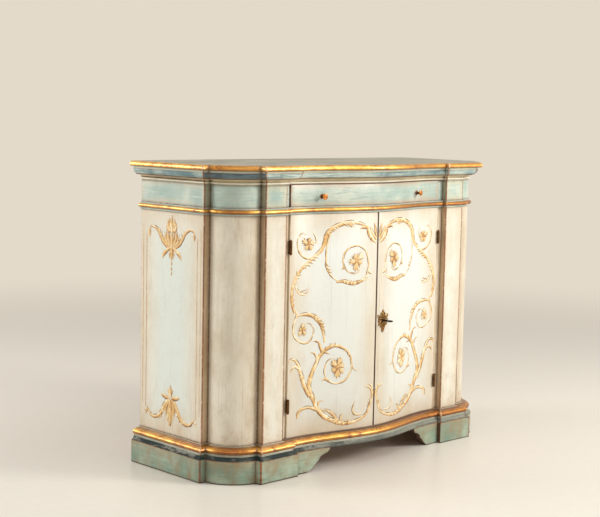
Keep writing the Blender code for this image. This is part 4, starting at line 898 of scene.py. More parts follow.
def build_top():
    """The top board, with a fillet and a gilded nose round it."""
    paint, fillet, gilt, raw, gilt_shade = range(5)
    ledge, nose = over(TOP_Z, TOP_FILLET, TOP_NOSE)
    foot = (TOP_FOOT_OUT, BOARD_FOOT_Z)
    # The gilding under the nose is the darker copy, laid as painted shade
    profile = [(*foot, fillet), (TOP_FOOT_OUT, ledge[1], fillet), (*ledge, gilt_shade)]
    under = quarter(ledge, nose, gilt_shade, True, 8)
    profile += under[:5] + tagged(under[5:], gilt) + quarter(nose, (TOP_EDGE_OUT, HEIGHT), gilt, False, 10)
    profile[-1] = (TOP_EDGE_OUT, HEIGHT, paint)
    rings = eased(profile + [(0.0, HEIGHT, paint), (0.0, foot[1], paint)])
    rings = [ring for ring in rings if ring[0] > TOP_RINGS[1] / 2]
    rings += [(out, HEIGHT, paint, 0.0, 0.0) for out in TOP_RINGS]
    bm = bmesh.new()
    worn_layer, dirt_layer = wear_layers(bm)
    columns = []
    for out, z, tag, worn, dirt_and_shade in rings:
        column = []
        path_share = 0 if out < TOP_FACE_OUT and z > nose[1] else 1
        for (x, y), (*_, path_worn, path_dirt) in zip(outline(out), STATIONS):
            vert = bm.verts.new((x, y, z))
            vert[worn_layer] = worn * 0.75 + path_share * path_worn
            vert[dirt_layer] = dirt_and_shade * 0.7 + path_share * path_dirt * 0.8
            column.append(vert)
        columns.append(column)
    skin(bm, columns, lambda number, step: raw if step == len(STATIONS) - 1 else rings[number][2])
    bm.faces.new(columns[0]).material_index = raw
    bm.faces.new(columns[-1]).material_index = paint
    kinds = [m_top, m_fillet, m_gilt, m_wood, m_gilt_painted_shade]
    stand_for(new_object("top_board_fine", bm, kinds, 38), "top_board")


def z_levels(spans):
    """Heights with the grime and painted shade that each shows next to the mouldings, for painted zones from
    one moulding to the next.
    """
    levels = []
    marks = ((0.0, 0.9), (0.0016, 0.5), (0.0070, 0.0))
    for low, high in spans:
        levels += [(low + distance, weight) for distance, weight in marks]
        levels += [(high - distance, weight) for distance, weight in reversed(marks)]
    return levels


CASE_LEVELS = z_levels([(CASE_Z + FIT, WAIST_Z), (DRAWER_Z, CORNICE_Z - FIT)])
# The plinth darkens at the floor and under the base moulding: grime, and painted shadow
PLINTH_LEVELS = [(0.0, 1.0), (0.0016, 0.5), (0.0060, 0.0)]
PLINTH_LEVELS += [(BASE_Z - 0.0040, 0.0), (BASE_Z - 0.0008, 0.3), (BASE_Z - FIT, 0.8)]


def upright(node, side, places, materials, levels):
    """A vertical piece. Places are (x, y, wear, grime and painted shade, next face's material below the waist,
    above it).
    """
    bm = bmesh.new()
    worn_layer, dirt_layer = wear_layers(bm)
    rings = []
    for z, crease_grime_and_shade in levels:
        ring = []
        for x, y, worn, dirt_and_shade, _, _ in places:
            vert = bm.verts.new((-side * x, y, z))
            vert[worn_layer] = worn * (1 - crease_grime_and_shade)
            vert[dirt_layer] = min(1.0, dirt_and_shade + crease_grime_and_shade * 0.8)
            ring.append(vert)
        rings.append(ring)

    def pick(number, here):
        middle = (levels[number][0] + levels[number + 1][0]) / 2
        return places[here][5 if middle > (WAIST_Z + DRAWER_Z) / 2 else 4]

    skin(bm, rings, pick)
    cap(bm, rings, places[0][4])
    split_large_faces(bm)
    return stand_for(new_object(node + "_fine", bm, materials, 38), node)


def run_places(run, below, above, low=0.0, high=1.0, offset=0.0):
    """The places of one run for an upright, cut between two shares."""
    found = []
    for share, weight, kind in run_shares(run):
        if low <= share <= high:
            found.append((*plan_point(offset, run, share), *worn_dirty_and_shaded(weight, kind), below, above))
    return found


GROOVE_OVERRUN = 0.005
STRIP_MARK = 0.003  # from a corner of the hinge strip to the next row of points
STRIP_RIM = 0.002


def build_uprights():
    kinds = [m_column, m_frieze, m_taupe, m_olive, m_wood_up, m_side, m_stile, m_frieze_side, m_frieze_stile]
    cream, green, taupe, olive, raw, side_paint, stile_paint, side_green, stile_green = range(9)
    bare, body, groove = (raw, raw), (cream, green), (taupe, olive)
    outer_x, inner_x = -STILE_OUTER_X, -SIDE_INNER_X
    _, arc_y = plan_point(0, "column", 1)
    for word, side in SIDES:
        column = [(inner_x + FIT, CORNER_Y - FIT, 0, 0, *body), *run_places("column", *body, 0.003, 0.997)]
        column += [(outer_x - FIT, arc_y, 0, 0, *bare), (outer_x - FIT, STILE_BACK_Y, 0, 0, *bare)]
        column += [(inner_x + FIT, CORNER_Y + COLUMN_LAND, 0, 0, *bare)]
        upright(f"{word}_corner_column", side, column, kinds, CASE_LEVELS)

        panel = run_places("side", side_paint, side_green) + run_places("inner", *groove, 0.0, 0.9)
        panel += [(inner_x, CORNER_Y, 0, 1, *bare), (inner_x, BACK_Y, 0, 0, *bare)]
        carve(upright(f"{word}_side_panel", side, panel, kinds, CASE_LEVELS), shelf_groove(side))

        stile = [(outer_x, STILE_BACK_Y, 0, 0, *groove), (outer_x, arc_y, 0, 1, *groove)]
        stile += run_places("outer", *groove, 0.1, 1.0) + run_places("stile", stile_paint, stile_green)
        stile += [
            (-STILE_STEP_X, STILE_Y + EASE, 1, 0, *groove),
            (-STILE_STEP_X, STILE_Y + STRIP_MARK, 0, 0, *groove),
            (-STILE_STEP_X, STRIP_Y - STRIP_MARK, 0, 0, *groove),
            (-STILE_STEP_X, STRIP_Y, 0, 1, *body),
            (-STILE_STEP_X + STRIP_MARK, STRIP_Y, 0, 0, *body),
            (-OPENING_X - STRIP_RIM, STRIP_Y, 0, 0, *body),
            (-OPENING_X - EASE, STRIP_Y, 0.3, 0, *body),
            (-OPENING_X, STRIP_Y + EASE, 0.3, 0, *bare),
            (-OPENING_X, STRIP_Y + STRIP_MARK, 0, 0, *bare),
            (-OPENING_X, STILE_BACK_Y, 0, 0, *bare),
        ]
        upright(f"{word}_stile", side, stile, kinds, CASE_LEVELS)


def shelf_groove(side):
    """The corners of the groove that holds the shelf's end."""
    inner, outer = side * (SIDE_INNER_X - GROOVE_OVERRUN), side * (SHELF_HIGH.x + FIT)
    low = (min(inner, outer), CORNER_Y + COLUMN_LAND, SHELF_LOW.z - FIT)
    return low, (max(inner, outer), SHELF_HIGH.y + FIT, SHELF_HIGH.z + FIT)


def carve(obj, corners):
    """Cuts a box out of an object, and leaves no modifier behind."""
    low, high = (Vector(corner) for corner in corners)
    bm = bmesh.new()
    bmesh.ops.create_cube(bm, size=1.0)
    for vert in bm.verts:
        vert.co = (low + high) / 2 + (high - low) * vert.co
    bmesh.ops.recalc_face_normals(bm, faces=bm.faces)
    tool = bpy.data.meshes.new("cutter")
    bm.to_mesh(tool)
    bm.free()
    helper = bpy.data.objects.new("cutter", tool)
    bpy.context.scene.collection.objects.link(helper)
    modifier = obj.modifiers.new("cut", "BOOLEAN")
    modifier.operation = "DIFFERENCE"
    modifier.solver = "EXACT"
    modifier.object = helper
    bpy.context.view_layer.update()
    old = obj.data
    obj.data = bpy.data.meshes.new_from_object(obj.evaluated_get(bpy.context.evaluated_depsgraph_get()))
    obj.modifiers.clear()
    bpy.data.objects.remove(helper)
    for mesh in (old, tool):
        bpy.data.meshes.remove(mesh)


def build_plinth():
    out_y = CORNER_Y - PLINTH_OUT
    (arc_x, _), (_, arc_y) = (plan_point(PLINTH_OUT, "column", share) for share in (0, 1))
    side_x = arc_x + FIT
    block_x = -STILE_OUTER_X - PLINTH_OUT - FIT
    block_back_y = STILE_Y - PLINTH_OUT + PLINTH_BLOCK_DEPTH
    for word, side in SIDES:
        corner = run_places("column", 0, 0, 0.003, 0.997, PLINTH_OUT)
        corner += [(block_x, arc_y, 0, 0, 1, 1), (block_x, block_back_y, 0, 0, 1, 1)]
        corner += [(side_x, out_y + COLUMN_LAND, 0, 0, 1, 1), (side_x, out_y - FIT, 0, 0, 0, 0)]
        upright(f"{word}_plinth_corner", side, corner, [m_plinth, m_wood_up], PLINTH_LEVELS)
        for piece in ("plinth_side", "plinth_block", "bracket_foot"):
            dress(f"{word}_{piece}", [m_plinth, m_wood_up, m_sawn_edge_shade], PLINTH_BEVEL, pick=plinth_pick)


BRACKET_INSET = 0.010
EDGE_ZONE = 0.004


def plinth_pick(face):
    """0 for paint, 1 for the bare back and 2 for a bracket's sawn edge and for faces that look down, painted
    dark as bare end grain and painted shade.
    """
    if face.normal.y > 0.7:
        return 1
    x = face.calc_center_median().x
    sawn = x * face.normal.x < 0 and abs(x) < STILE_STEP_X - BRACKET_INSET or face.normal.z < -0.4
    return 2 if sawn else 0


def door_pick(face):
    """0 for the painted face, 1 for the bare back, 2 for the edge at the hinges and 3 for the free edge,
    painted dark as shade in the gap.
    """
    if face.normal.y > 0.3:
        return 1
    if abs(face.normal.x) < 0.6:
        return 0
    place = abs(face.calc_center_median().x)
    return 3 if place < EDGE_ZONE / 2 else 2 if place > DOOR_EDGE_X - EDGE_ZONE else 0


def build_fronts():
    door_paints = [m_door, m_wood_up, m_door_side, m_gap_edge_shade]
    drawer_paints = [m_drawer, m_wood, m_gap_edge_shade]
    fronts = {"left_door": door_paints, "right_door": door_paints, "drawer_front": drawer_paints}
    for node, paints in fronts.items():
        dress(node, paints, PAINTED_BEVEL, pick=door_pick, wear=0.3)
    dress("waist_rail", [m_frieze, m_wood], RAIL_BEVEL, pick=lambda face: int(face.normal.y > -0.5))


def build_boards():
    boards = ["bottom_board", "shelf", "dust_board", "base_back_rail", "top_back_rail", "drawer_back"]
    runners = [f"{word}_drawer_{piece}" for word, _ in SIDES for piece in ("guide", "kicker")]
    for node in boards:
        dress(node, [m_wood], BOARD_BEVEL)
    dress("back_panel", [m_wood_up], BOARD_BEVEL)
    for node in ("drawer_bottom", "drawer_left_side", "drawer_right_side"):
        dress(node, [m_wood_back], THIN_BOARD_BEVEL)
    for node in runners:
        dress(node, [m_wood_back], BOARD_BEVEL)


def build_fittings():
    for word, _ in SIDES:
        for place in ("lower", "upper"):
            for kind in ("frame_leaf", "door_leaf", "pin"):
                dress(f"{word}_{place}_hinge_{kind}", [m_hinge], HINGE_BEVEL, 40)
    dress("lock_case", [m_brass], LOCK_CASE_BEVEL, 40)
    dress("lock_bolt", [m_brass], FITTING_BEVEL, 40)
    dress("lock_staple", [m_brass], FITTING_BEVEL, 40)
    dress("escutcheon", [m_plate], FITTING_BEVEL, 30)
    build_plate_ribs()
    dress("key", [m_iron], KEY_BEVEL, 50)
    for place in ("upper", "lower"):
        dress(f"{place}_slide_bolt", [m_iron], FITTING_BEVEL, 50)
        dress(f"{place}_bolt_guide", [m_brass], FITTING_BEVEL, 40)
    build_knobs()


# A knob's radius and its distance from the drawer's front, in millimetres, from the shank to the crown
KNOB_PROFILE = [
    (2.5, -16.0), (2.5, -0.2), (7.4, 0.0), (8.0, 0.4), (8.0, 1.1), (7.2, 1.6),
    (5.5, 2.1), (4.3, 3.2), (3.8, 5.0), (3.8, 6.6), (4.0, 8.2), (4.3, 9.8),
    (5.0, 10.9), (6.1, 12.2), (7.3, 13.3), (8.4, 14.6), (9.2, 15.8), (9.5, 16.8),
    (9.4, 17.5), (8.7, 18.1), (7.8, 18.4), (6.8, 18.3), (6.0, 18.0), (5.4, 18.3),
    (4.6, 18.8), (3.6, 19.2), (2.6, 19.3), (1.9, 19.1), (1.4, 19.4), (0.4, 19.7),
]
KNOB_RIM = (15.0, 18.2)
KNOB_NECK = (1.2, 11.2)
KNOB_CROWN = 17.0
KNOB_GROOVES = ((6.0, 0.3), (1.9, 0.2))  # radius and reach of each
KNOB_LIFT = 0.0006
KNOB_STEPS = 40


def build_knobs():
    """Turned knobs, square to the bow, bright at the rim and dark in the neck and the crown's grooves."""
    for word, side in SIDES:
        x = side * KNOB_X
        delta = BOW_HALF_WIDTH / 12
        slope = (bow_y(x + delta) - bow_y(x - delta)) / (2 * delta)
        out = Vector((slope, -1, 0)).normalized()
        seat = Vector((x, bow_y(x), KNOB_Z)) + out * KNOB_LIFT
        up = Vector((0, 0, 1))
        third = out.cross(up)
        bm = bmesh.new()
        worn_layer, dirt_layer = wear_layers(bm)
        rings = []
        for radius, distance in KNOB_PROFILE:
            worn = KNOB_RIM[0] < distance < KNOB_RIM[1]
            groove = any(abs(radius - place) < reach for place, reach in KNOB_GROOVES)
            dirty = KNOB_NECK[0] < distance < KNOB_NECK[1] or groove and distance > KNOB_CROWN
            ring = []
            for step in range(KNOB_STEPS):
                turn = 2 * math.pi * step / KNOB_STEPS
                spoke = up * math.cos(turn) + third * math.sin(turn)
                vert = bm.verts.new(seat + (out * distance + spoke * radius) * MM)
                vert[worn_layer] = 1.0 if worn else 0.0
                vert[dirt_layer] = 0.9 if dirty else 0.0
                ring.append(vert)
            rings.append(ring)
        skin(bm, rings)
        cap(bm, rings)
        stand_for(new_object(f"{word}_knob_fine", bm, [m_knob], 50), f"{word}_knob")


# Painted ornament. Points, lengths and widths of the tables are in millimetres


def spline(points, steps):
    """Points of a smooth curve through the given ones."""
    points = [Vector(point) for point in points]
    if len(points) == 2:
        points.insert(1, (points[0] + points[1]) / 2)
    padded = [2 * points[0] - points[1], *points, 2 * points[-1] - points[-2]]
    result = []
    for place in range(1, len(padded) - 2):
        p0, p1, p2, p3 = padded[place - 1 : place + 3]
        for step in range(steps):
            t = step / steps
            bend = (2 * p0 - 5 * p1 + 4 * p2 - p3) * t**2 + (3 * p1 - p0 - 3 * p2 + p3) * t**3
            result.append((2 * p1 + (p2 - p0) * t + bend) / 2)
    return [*result, points[-1]]


def bell(share, power=1.0):
    return math.sin(math.pi * share) ** power


def beside(path, place):
    """The way along a path and the way to its left."""
    along = (path[min(place + 1, len(path) - 1)] - path[max(place - 1, 0)]).normalized()
    return along, Vector((-along.y, along.x))


PAINT_LIGHT = Vector((0.45, 0.89))
FULLNESS = 1.36  # brush width over the traced one
THIN_FULLNESS = 1.12
ACROSS = (-1.0, -0.62, 0.0, 0.62, 1.0)
RELIEF = (0.0, 0.75, 1.0, 0.75, 0.0)
FIRST_LIFT = 0.00004
LIFT_STEP = 0.000004
STROKE_RELIEF = 0.00035
LINE_RELIEF = 0.00008
VEIN_RELIEF = 0.0003
THINNEST = 0.00018
VEINED_LENGTH = 0.009


class Painting:
    """Strokes laid on a surface as thin raised ribbons. Surface turns (u, v, lift) into a place."""

    def __init__(self, surface, mirror=1, layer="tone"):
        self.bm = bmesh.new()
        self.tone = self.bm.verts.layers.float.new(layer)
        self.surface = surface
        self.mirror = mirror
        self.lift = FIRST_LIFT

    def ribbon(self, points, width, tone=0.0, relief=STROKE_RELIEF, steps=5, flat=None):
        """Width gives the half width for a share of the length. The stroke is shaded as if lit from above."""
        path = spline(points, steps)
        lengths = [0.0]
        for one, other in zip(path, path[1:]):
            lengths.append(lengths[-1] + (other - one).length)
        self.lift += LIFT_STEP
        rings = []
        for number, (point, length) in enumerate(zip(path, lengths)):
            _, aside = beside(path, number)
            wobble = 1 + 0.20 * noise.noise(Vector((point.x, point.y, 0.3)) * 70)
            half = max(width(length / lengths[-1]) * wobble, THINNEST)
            ring = []
            for across, rise in zip(ACROSS, RELIEF):
                spot = point + aside * across * half
                lit = 0.60 + 0.48 * aside.dot(PAINT_LIGHT) * across + 0.12 * rise - 0.20 * abs(across) ** 3
                place = self.surface(self.mirror * spot.x, spot.y, self.lift + relief * rise)
                vert = self.bm.verts.new(place)
                vert[self.tone] = (lit if flat is None else flat) + tone
                ring.append(vert)
            rings.append(ring)
        skin(self.bm, rings)
        cap(self.bm, rings)
        return path

    def stroke(self, points, widths, tone=0.0, side=1, fullness=FULLNESS):
        """A brush stroke through points, with its half widths at start, middle and end."""
        start, middle, end = (fullness * value * MM for value in widths)

        def width(share):
            full = max(0.0, bell(min(1.0, share**0.9)))
            return start * (1 - share) ** 1.2 + end * share**1.5 + (middle - (start + end) / 2) * full

        path = self.ribbon([(x * MM, z * MM) for x, z in points], width, tone)
        self.accent(path, width, side)
        return path

    def accent(self, path, width, side):
        """A fine sepia line along one side of a stroke, in broken lengths."""
        low, high = 0.08, 0.92
        count = len(path)
        pieces = max(1, count // 9)
        for number in range(pieces):
            first = int(count * (low + (high - low) * (number + 0.08) / pieces))
            last = int(count * (low + (high - low) * (number + 0.84) / pieces))
            if last - first < 2:
                continue
            line = []
            for place in range(first, last + 1):
                place = min(count - 2, max(1, place))
                line.append(path[place] + beside(path, place)[1] * side * width(place / (count - 1)) * 0.86)
            points = [line[0], line[len(line) // 2], line[-1]]
            self.ribbon(points, lambda s: (0.4 + 1.2 * bell(s)) * MM, 0.0, VEIN_RELIEF, 4, 0.04)

    def leaf(self, root, tip, half, bend=0.0, tone=0.0, vein=True):
        """A pointed leaf from root to tip, bent aside by a share of its length, with a darker vein."""
        root, tip = Vector(root), Vector(tip)
        along = tip - root
        aside = Vector((-along.y, along.x)) * bend
        middle = root + along * 0.5 + aside
        self.ribbon(
            [root, middle, tip],
            lambda s: half * bell(min(1.0, s * 0.94 + 0.03) ** 0.75) + 0.2 * MM, tone, steps=4,
        )
        if vein and along.length > VEINED_LENGTH:
            shift = Vector((along.y, -along.x)).normalized() * half * 0.35
            start = root + along * 0.25 + aside * 0.6 + shift
            points = [start, middle + along * 0.15 + shift, root + along * 0.85]
            self.ribbon(points, lambda s: (0.25 + 0.6 * bell(s)) * MM, 0.0, VEIN_RELIEF, 3, 0.08)

    def petal(self, root, tip, half, tone=0.0):
        """A lobe with blunt ends."""
        root, tip = Vector(root), Vector(tip)
        self.ribbon([root, (root + tip) / 2, tip], lambda s: half * bell(0.05 + 0.9 * s, 0.6), tone)

    def fringe(self, path, side, low, high, count, length, half, lean=0.7):
        """Leaflets along one side of a stroke's path, each leaning on the next."""
        length, half = length * MM, half * MM
        for number in range(count):
            share = low + (high - low) * (number + 0.5) / count
            place = min(len(path) - 2, max(1, int(share * (len(path) - 1))))
            along, aside = beside(path, place)
            size = 0.75 + 0.35 * bell((number + 0.5) / count)
            reach = (aside * side + along * lean).normalized() * length * size
            root = path[place] - along * length * 0.25
            shade = 0.07 if number % 2 else -0.07
            self.leaf(root, path[place] + reach, half * 1.35 * size, -0.16 * side, shade)

    def flower(self, middle, radius, petals, turn):
        """Ragged petals with a notched rim, brown between them and at the heart."""

        def way(angle, reach):
            return middle + Vector((math.cos(angle), math.sin(angle))) * reach

        middle, radius = Vector(middle) * MM, radius * MM
        pitch = 2 * math.pi / petals
        for petal in range(petals):
            angle = turn + pitch * petal + 0.15 * math.sin(5.0 * petal)
            reach = radius * (1 + 0.20 * math.sin(2.3 * petal + 1.3 + turn * 9))
            shade = 0.07 + 0.07 * math.sin(4.0 * petal + turn)
            for lobe, share, wide in ((-0.34, 0.90, 0.17), (0.34, 0.94, 0.17), (0.0, 1.0, 0.24)):
                root, tip = way(angle, radius * 0.08), way(angle + lobe, reach * share)
                self.leaf(root, tip, radius * wide, -0.25 * lobe, shade - 0.10 * abs(lobe), False)
            self.leaf(middle, way(angle, reach * 0.62), radius * 0.13, 0.0, 0.22, False)
        for petal in range(petals):
            angle = turn + pitch * (petal + 0.5) + 0.15 * math.sin(5.0 * petal)
            self.leaf(middle, way(angle, radius * 0.84), radius * 0.07, 0.05, -0.44, False)
            self.leaf(middle, way(angle + 0.6, radius * 0.44), radius * 0.12, 0.0, -0.22, False)

    def bead(self, middle, high, half, tone):
        middle, rise = Vector(middle), Vector((0, high))
        self.ribbon([middle + rise, middle, middle - rise], lambda s: half * bell(0.1 + 0.8 * s), tone)

    def line(self, points, half):
        self.ribbon(points, lambda s: half, relief=LINE_RELIEF, steps=14, flat=0.42)

    def finish(self, name, body, material, slot):
        obj = new_object(name, self.bm, [material], 60)
        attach(obj, body)


# The left door's strokes, from its meeting edge (x) and the floor (z): half widths, then points
DOOR_STROKES = [
    ("stem_low", (3.2, 5.0, 4.0), [(-319, 503), (-329, 525), (-334, 550), (-332, 571), (-325, 593),
        (-318, 610), (-308, 624), (-292, 641), (-272, 655), (-253, 667)]),
    ("stem_mid", (3.5, 6.5, 2.5), [(-258, 665), (-240, 678), (-222, 692), (-210, 709), (-205, 727),
        (-199, 744), (-183, 759), (-160, 770), (-132, 778), (-104, 779), (-76, 774), (-54, 766), (-42, 758)]),
    ("stem_end_leaf", (3.0, 4.0, 0.6), [(-43, 755), (-56, 762), (-68, 761), (-77, 756)]),
    ("meet_leaf_1", (4.0, 7.0, 1.0), [(-45, 755), (-37, 739), (-25, 723), (-8, 709)]),
    ("meet_leaf_2", (1.0, 5.0, 2.0), [(-34, 763), (-28, 747), (-16, 731), (-6, 719)]),
    ("meet_leaf_3", (0.8, 4.0, 2.0), [(-18, 774), (-14, 758), (-10, 742), (-6, 728)]),
    ("ring_a_outer", (2.5, 3.2, 2.2), [(-183, 756), (-191, 735), (-197, 713), (-200, 689), (-201, 665),
        (-199, 640), (-189, 621), (-174, 606), (-158, 595)]),
    ("ring_a_leaf", (2.0, 5.5, 0.8), [(-162, 591), (-140, 593), (-119, 588), (-95, 584), (-71, 589),
        (-42, 597)]),
    ("ring_a_inner", (1.2, 3.0, 1.4), [(-72, 592), (-51, 602), (-42, 622), (-39, 647), (-45, 672), (-57, 692),
        (-83, 704), (-109, 701), (-129, 687), (-138, 667), (-136, 642), (-123, 625), (-100, 615), (-83, 618),
        (-72, 630)]),
    ("ring_a_tail", (2.5, 3.0, 1.5), [(-42, 622), (-32, 615), (-23, 611)]),
    ("ring_a_tail2", (3.0, 2.5, 0.6), [(-134, 642), (-137, 635), (-145, 629)]),
    ("ring_b", (3.5, 3.4, 1.0), [(-256, 670), (-275, 672), (-295, 682), (-307, 698), (-312, 718), (-308, 737),
        (-294, 749), (-276, 746)]),
    ("ring_b_right", (0.8, 2.6, 1.6), [(-253, 752), (-243, 741), (-238, 728), (-240, 714)]),
    ("hook", (3.0, 3.6, 1.0), [(-317, 586), (-309, 572), (-295, 561), (-278, 558), (-267, 563), (-265, 574)]),
    ("hook_in", (1.0, 1.8, 0.6), [(-306, 571), (-289, 567), (-275, 571), (-268, 576)]),
    ("ring_c", (3.0, 3.2, 1.0), [(-316, 510), (-310, 498), (-315, 482), (-322, 466), (-324, 444), (-313, 423),
        (-291, 409), (-266, 405), (-252, 416), (-244, 432), (-243, 449), (-254, 462), (-271, 467),
        (-281, 463)]),
    ("ring_c_top", (1.5, 6.0, 2.0), [(-310, 492), (-290, 496), (-265, 495), (-243, 488), (-227, 476),
        (-215, 461), (-208, 444), (-203, 424), (-200, 400)]),
    ("ring_c_top2", (0.6, 3.0, 1.5), [(-204, 468), (-210, 459), (-211, 449)]),
    ("trunk", (7.0, 5.5, 1.4), [(-223, 191), (-233, 214), (-247, 240), (-255, 263), (-253, 285), (-245, 308),
        (-232, 332), (-221, 353), (-207, 369), (-188, 381), (-166, 388), (-140, 383), (-117, 369),
        (-102, 348), (-97, 325), (-92, 310), (-78, 301)]),
    ("ring_d", (2.0, 3.0, 1.0), [(-102, 346), (-98, 321), (-105, 294), (-123, 274), (-154, 266), (-181, 276),
        (-195, 294), (-198, 316), (-191, 336), (-176, 347), (-159, 349)]),
    ("ring_d_tail", (3.0, 3.4, 0.8), [(-181, 276), (-194, 284), (-209, 281)]),
    ("ring_d_in", (2.5, 2.0, 0.6), [(-206, 376), (-190, 367), (-178, 363)]),
    ("twin_leaf", (4.5, 5.0, 1.0), [(-252, 275), (-247, 299), (-238, 320), (-228, 339), (-228, 356),
        (-237, 370), (-252, 374)]),
    ("curl_up", (5.0, 3.5, 1.0), [(-207, 369), (-215, 389), (-222, 403), (-234, 409), (-243, 408)]),
    ("left_arm", (5.0, 6.0, 1.2), [(-253, 234), (-267, 257), (-280, 285), (-290, 313), (-301, 340),
        (-318, 357), (-336, 356), (-338, 347)]),
    ("left_arm2", (3.0, 3.0, 0.8), [(-290, 313), (-303, 330), (-319, 334), (-330, 325), (-329, 315)]),
    ("right_sprig", (2.0, 2.2, 0.6), [(-232, 207), (-232, 226), (-237, 244)]),
    ("low_curl", (5.0, 4.4, 3.4), [(-226, 189), (-249, 198), (-273, 198), (-293, 191), (-300, 178),
        (-297, 169)]),
    ("swag", (7.5, 5.0, 1.6), [(-232, 204), (-217, 186), (-197, 165), (-171, 150), (-139, 137), (-108, 133),
        (-78, 137), (-50, 145), (-31, 158), (-21, 177), (-14, 199), (-6, 221)]),
    ("swag_leaf1", (3.0, 2.6, 0.8), [(-211, 185), (-219, 200), (-216, 213), (-201, 216)]),
    ("swag_leaf2", (3.0, 4.5, 1.0), [(-148, 144), (-157, 160), (-171, 173), (-189, 183), (-208, 185)]),
    ("swag_leaf3", (2.5, 3.0, 0.8), [(-135, 145), (-134, 157), (-125, 166)]),
    ("swag_leaf4", (2.0, 3.0, 0.8), [(-54, 157), (-79, 158), (-91, 173), (-87, 187), (-80, 202)]),
    ("meet_low1", (3.0, 4.0, 0.8), [(-9, 208), (-9, 226), (-20, 240), (-41, 246)]),
    ("meet_low2", (2.0, 2.6, 0.6), [(-8, 228), (-13, 244), (-26, 253)]),
]
THIN_STROKES = {"ring_a_outer", "ring_a_inner", "ring_b", "ring_b_right", "ring_c", "ring_d"}
THIN_STROKES |= {"hook", "hook_in", "swag_leaf4"}
# Leaflets along the strokes: stroke, side, from, to, count, length, half width
DOOR_FRINGES = [
    ("stem_low", -1, 0.05, 0.30, 3, 16, 2.6),
    ("stem_low", -1, 0.42, 0.70, 3, 17, 2.8),
    ("stem_low", 1, 0.60, 0.72, 1, 13, 2.2),
    ("stem_low", -1, 0.78, 0.99, 3, 18, 2.8),
    ("stem_mid", -1, 0.00, 0.10, 2, 18, 2.6),
    ("stem_mid", -1, 0.40, 0.58, 5, 15, 2.4),
    ("stem_mid", -1, 0.64, 0.76, 4, 20, 2.8),
    ("ring_a_outer", 1, 0.55, 0.78, 3, 16, 2.0),
    ("ring_a_leaf", 1, 0.15, 0.90, 6, 11, 2.2),
    ("ring_a_leaf", -1, 0.20, 0.70, 4, 8, 2.0),
    ("ring_a_inner", -1, 0.00, 0.10, 2, 11, 2.0),
    ("ring_c_top", 1, 0.35, 0.80, 6, 12, 2.4),
    ("ring_c_top", -1, 0.30, 0.55, 3, 9, 2.0),
    ("trunk", 1, 0.52, 0.66, 3, 13, 2.4),
    ("trunk", -1, 0.70, 0.86, 3, 9, 2.0),
    ("left_arm", 1, 0.35, 0.55, 2, 13, 2.2),
    ("left_arm", -1, 0.28, 0.36, 1, 13, 2.0),
    ("swag", 1, 0.22, 0.52, 6, 15, 2.6),
    ("swag", 1, 0.74, 0.92, 4, 12, 2.2),
    ("swag", -1, 0.30, 0.50, 3, 8, 2.0),
    ("swag_leaf2", -1, 0.1, 0.8, 4, 9, 1.8),
    ("meet_leaf_1", -1, 0.1, 0.7, 3, 12, 2.0),
]
# The flowers' middles, radii, petals and turns
FLOWERS = [((-88, 655), 30, 5, 0.75), ((-268, 715), 25, 5, 0.2), ((-286, 447), 20, 5, 1.5),
    ((-150, 318), 31, 6, 0.35)]


def paint_door(word, side):
    """The same ornament on both doors, mirrored."""
    painting = Painting(lambda x, z, lift: Vector((x, bow_y(x) - lift, z)), -side)
    paths = {}
    for number, (name, widths, points) in enumerate(DOOR_STROKES):
        tone, fullness = 0.05 * math.sin(2.1 * number), FULLNESS
        if name in THIN_STROKES:
            tone, fullness = tone + 0.13, THIN_FULLNESS
        paths[name] = painting.stroke(points, widths, tone, 1 if number % 3 else -1, fullness)
    for name, *leaflets in DOOR_FRINGES:
        painting.fringe(paths[name], *leaflets)
    for flower in FLOWERS:
        painting.flower(*flower)
    painting.finish(f"{word}_door_scrolls", f"{word}_door", m_scroll, "cream_lacquer")


# Raised ribs of the escutcheon's right half, about its middle: half width, then the points
PLATE_RIBS = [
    (1.0, [(1.2, 31), (2.6, 26.5), (6.2, 23.4), (10.4, 24.2), (10.0, 18.8), (7.2, 15.2), (8.4, 12.6),
        (5.0, 10.5)]),
    (1.3, [(9.6, 11.6), (15.0, 14.4), (20.0, 17.0), (24.8, 18.4), (24.2, 12.6), (20.8, 8.0), (15.0, 6.6),
        (11.4, 8.6)]),
    (1.2, [(21.4, 6.4), (22.6, 2.6), (22.6, -2.4), (19.2, -6.6), (14.6, -5.0), (11.8, -1.0), (8.0, -0.4)]),
    (1.2, [(18.0, -8.2), (20.2, -11.4), (19.0, -15.6), (14.0, -15.0), (10.0, -11.6), (6.6, -9.6)]),
    (1.0, [(11.6, -17.4), (10.0, -20.6), (8.4, -24.0), (5.8, -27.6), (5.6, -31.8), (2.6, -36.0)]),
    (0.8, [(5.0, -13.6), (6.0, -17.0), (4.6, -20.6), (2.2, -22.6)]),
]
PLATE_LEAVES = ((13, 34), (-21, -38.5))
RIB_RELIEF = 0.0012
PLATE_LEAF_RELIEF = 0.0015
PLATE_LEAF_HALF = 0.0026


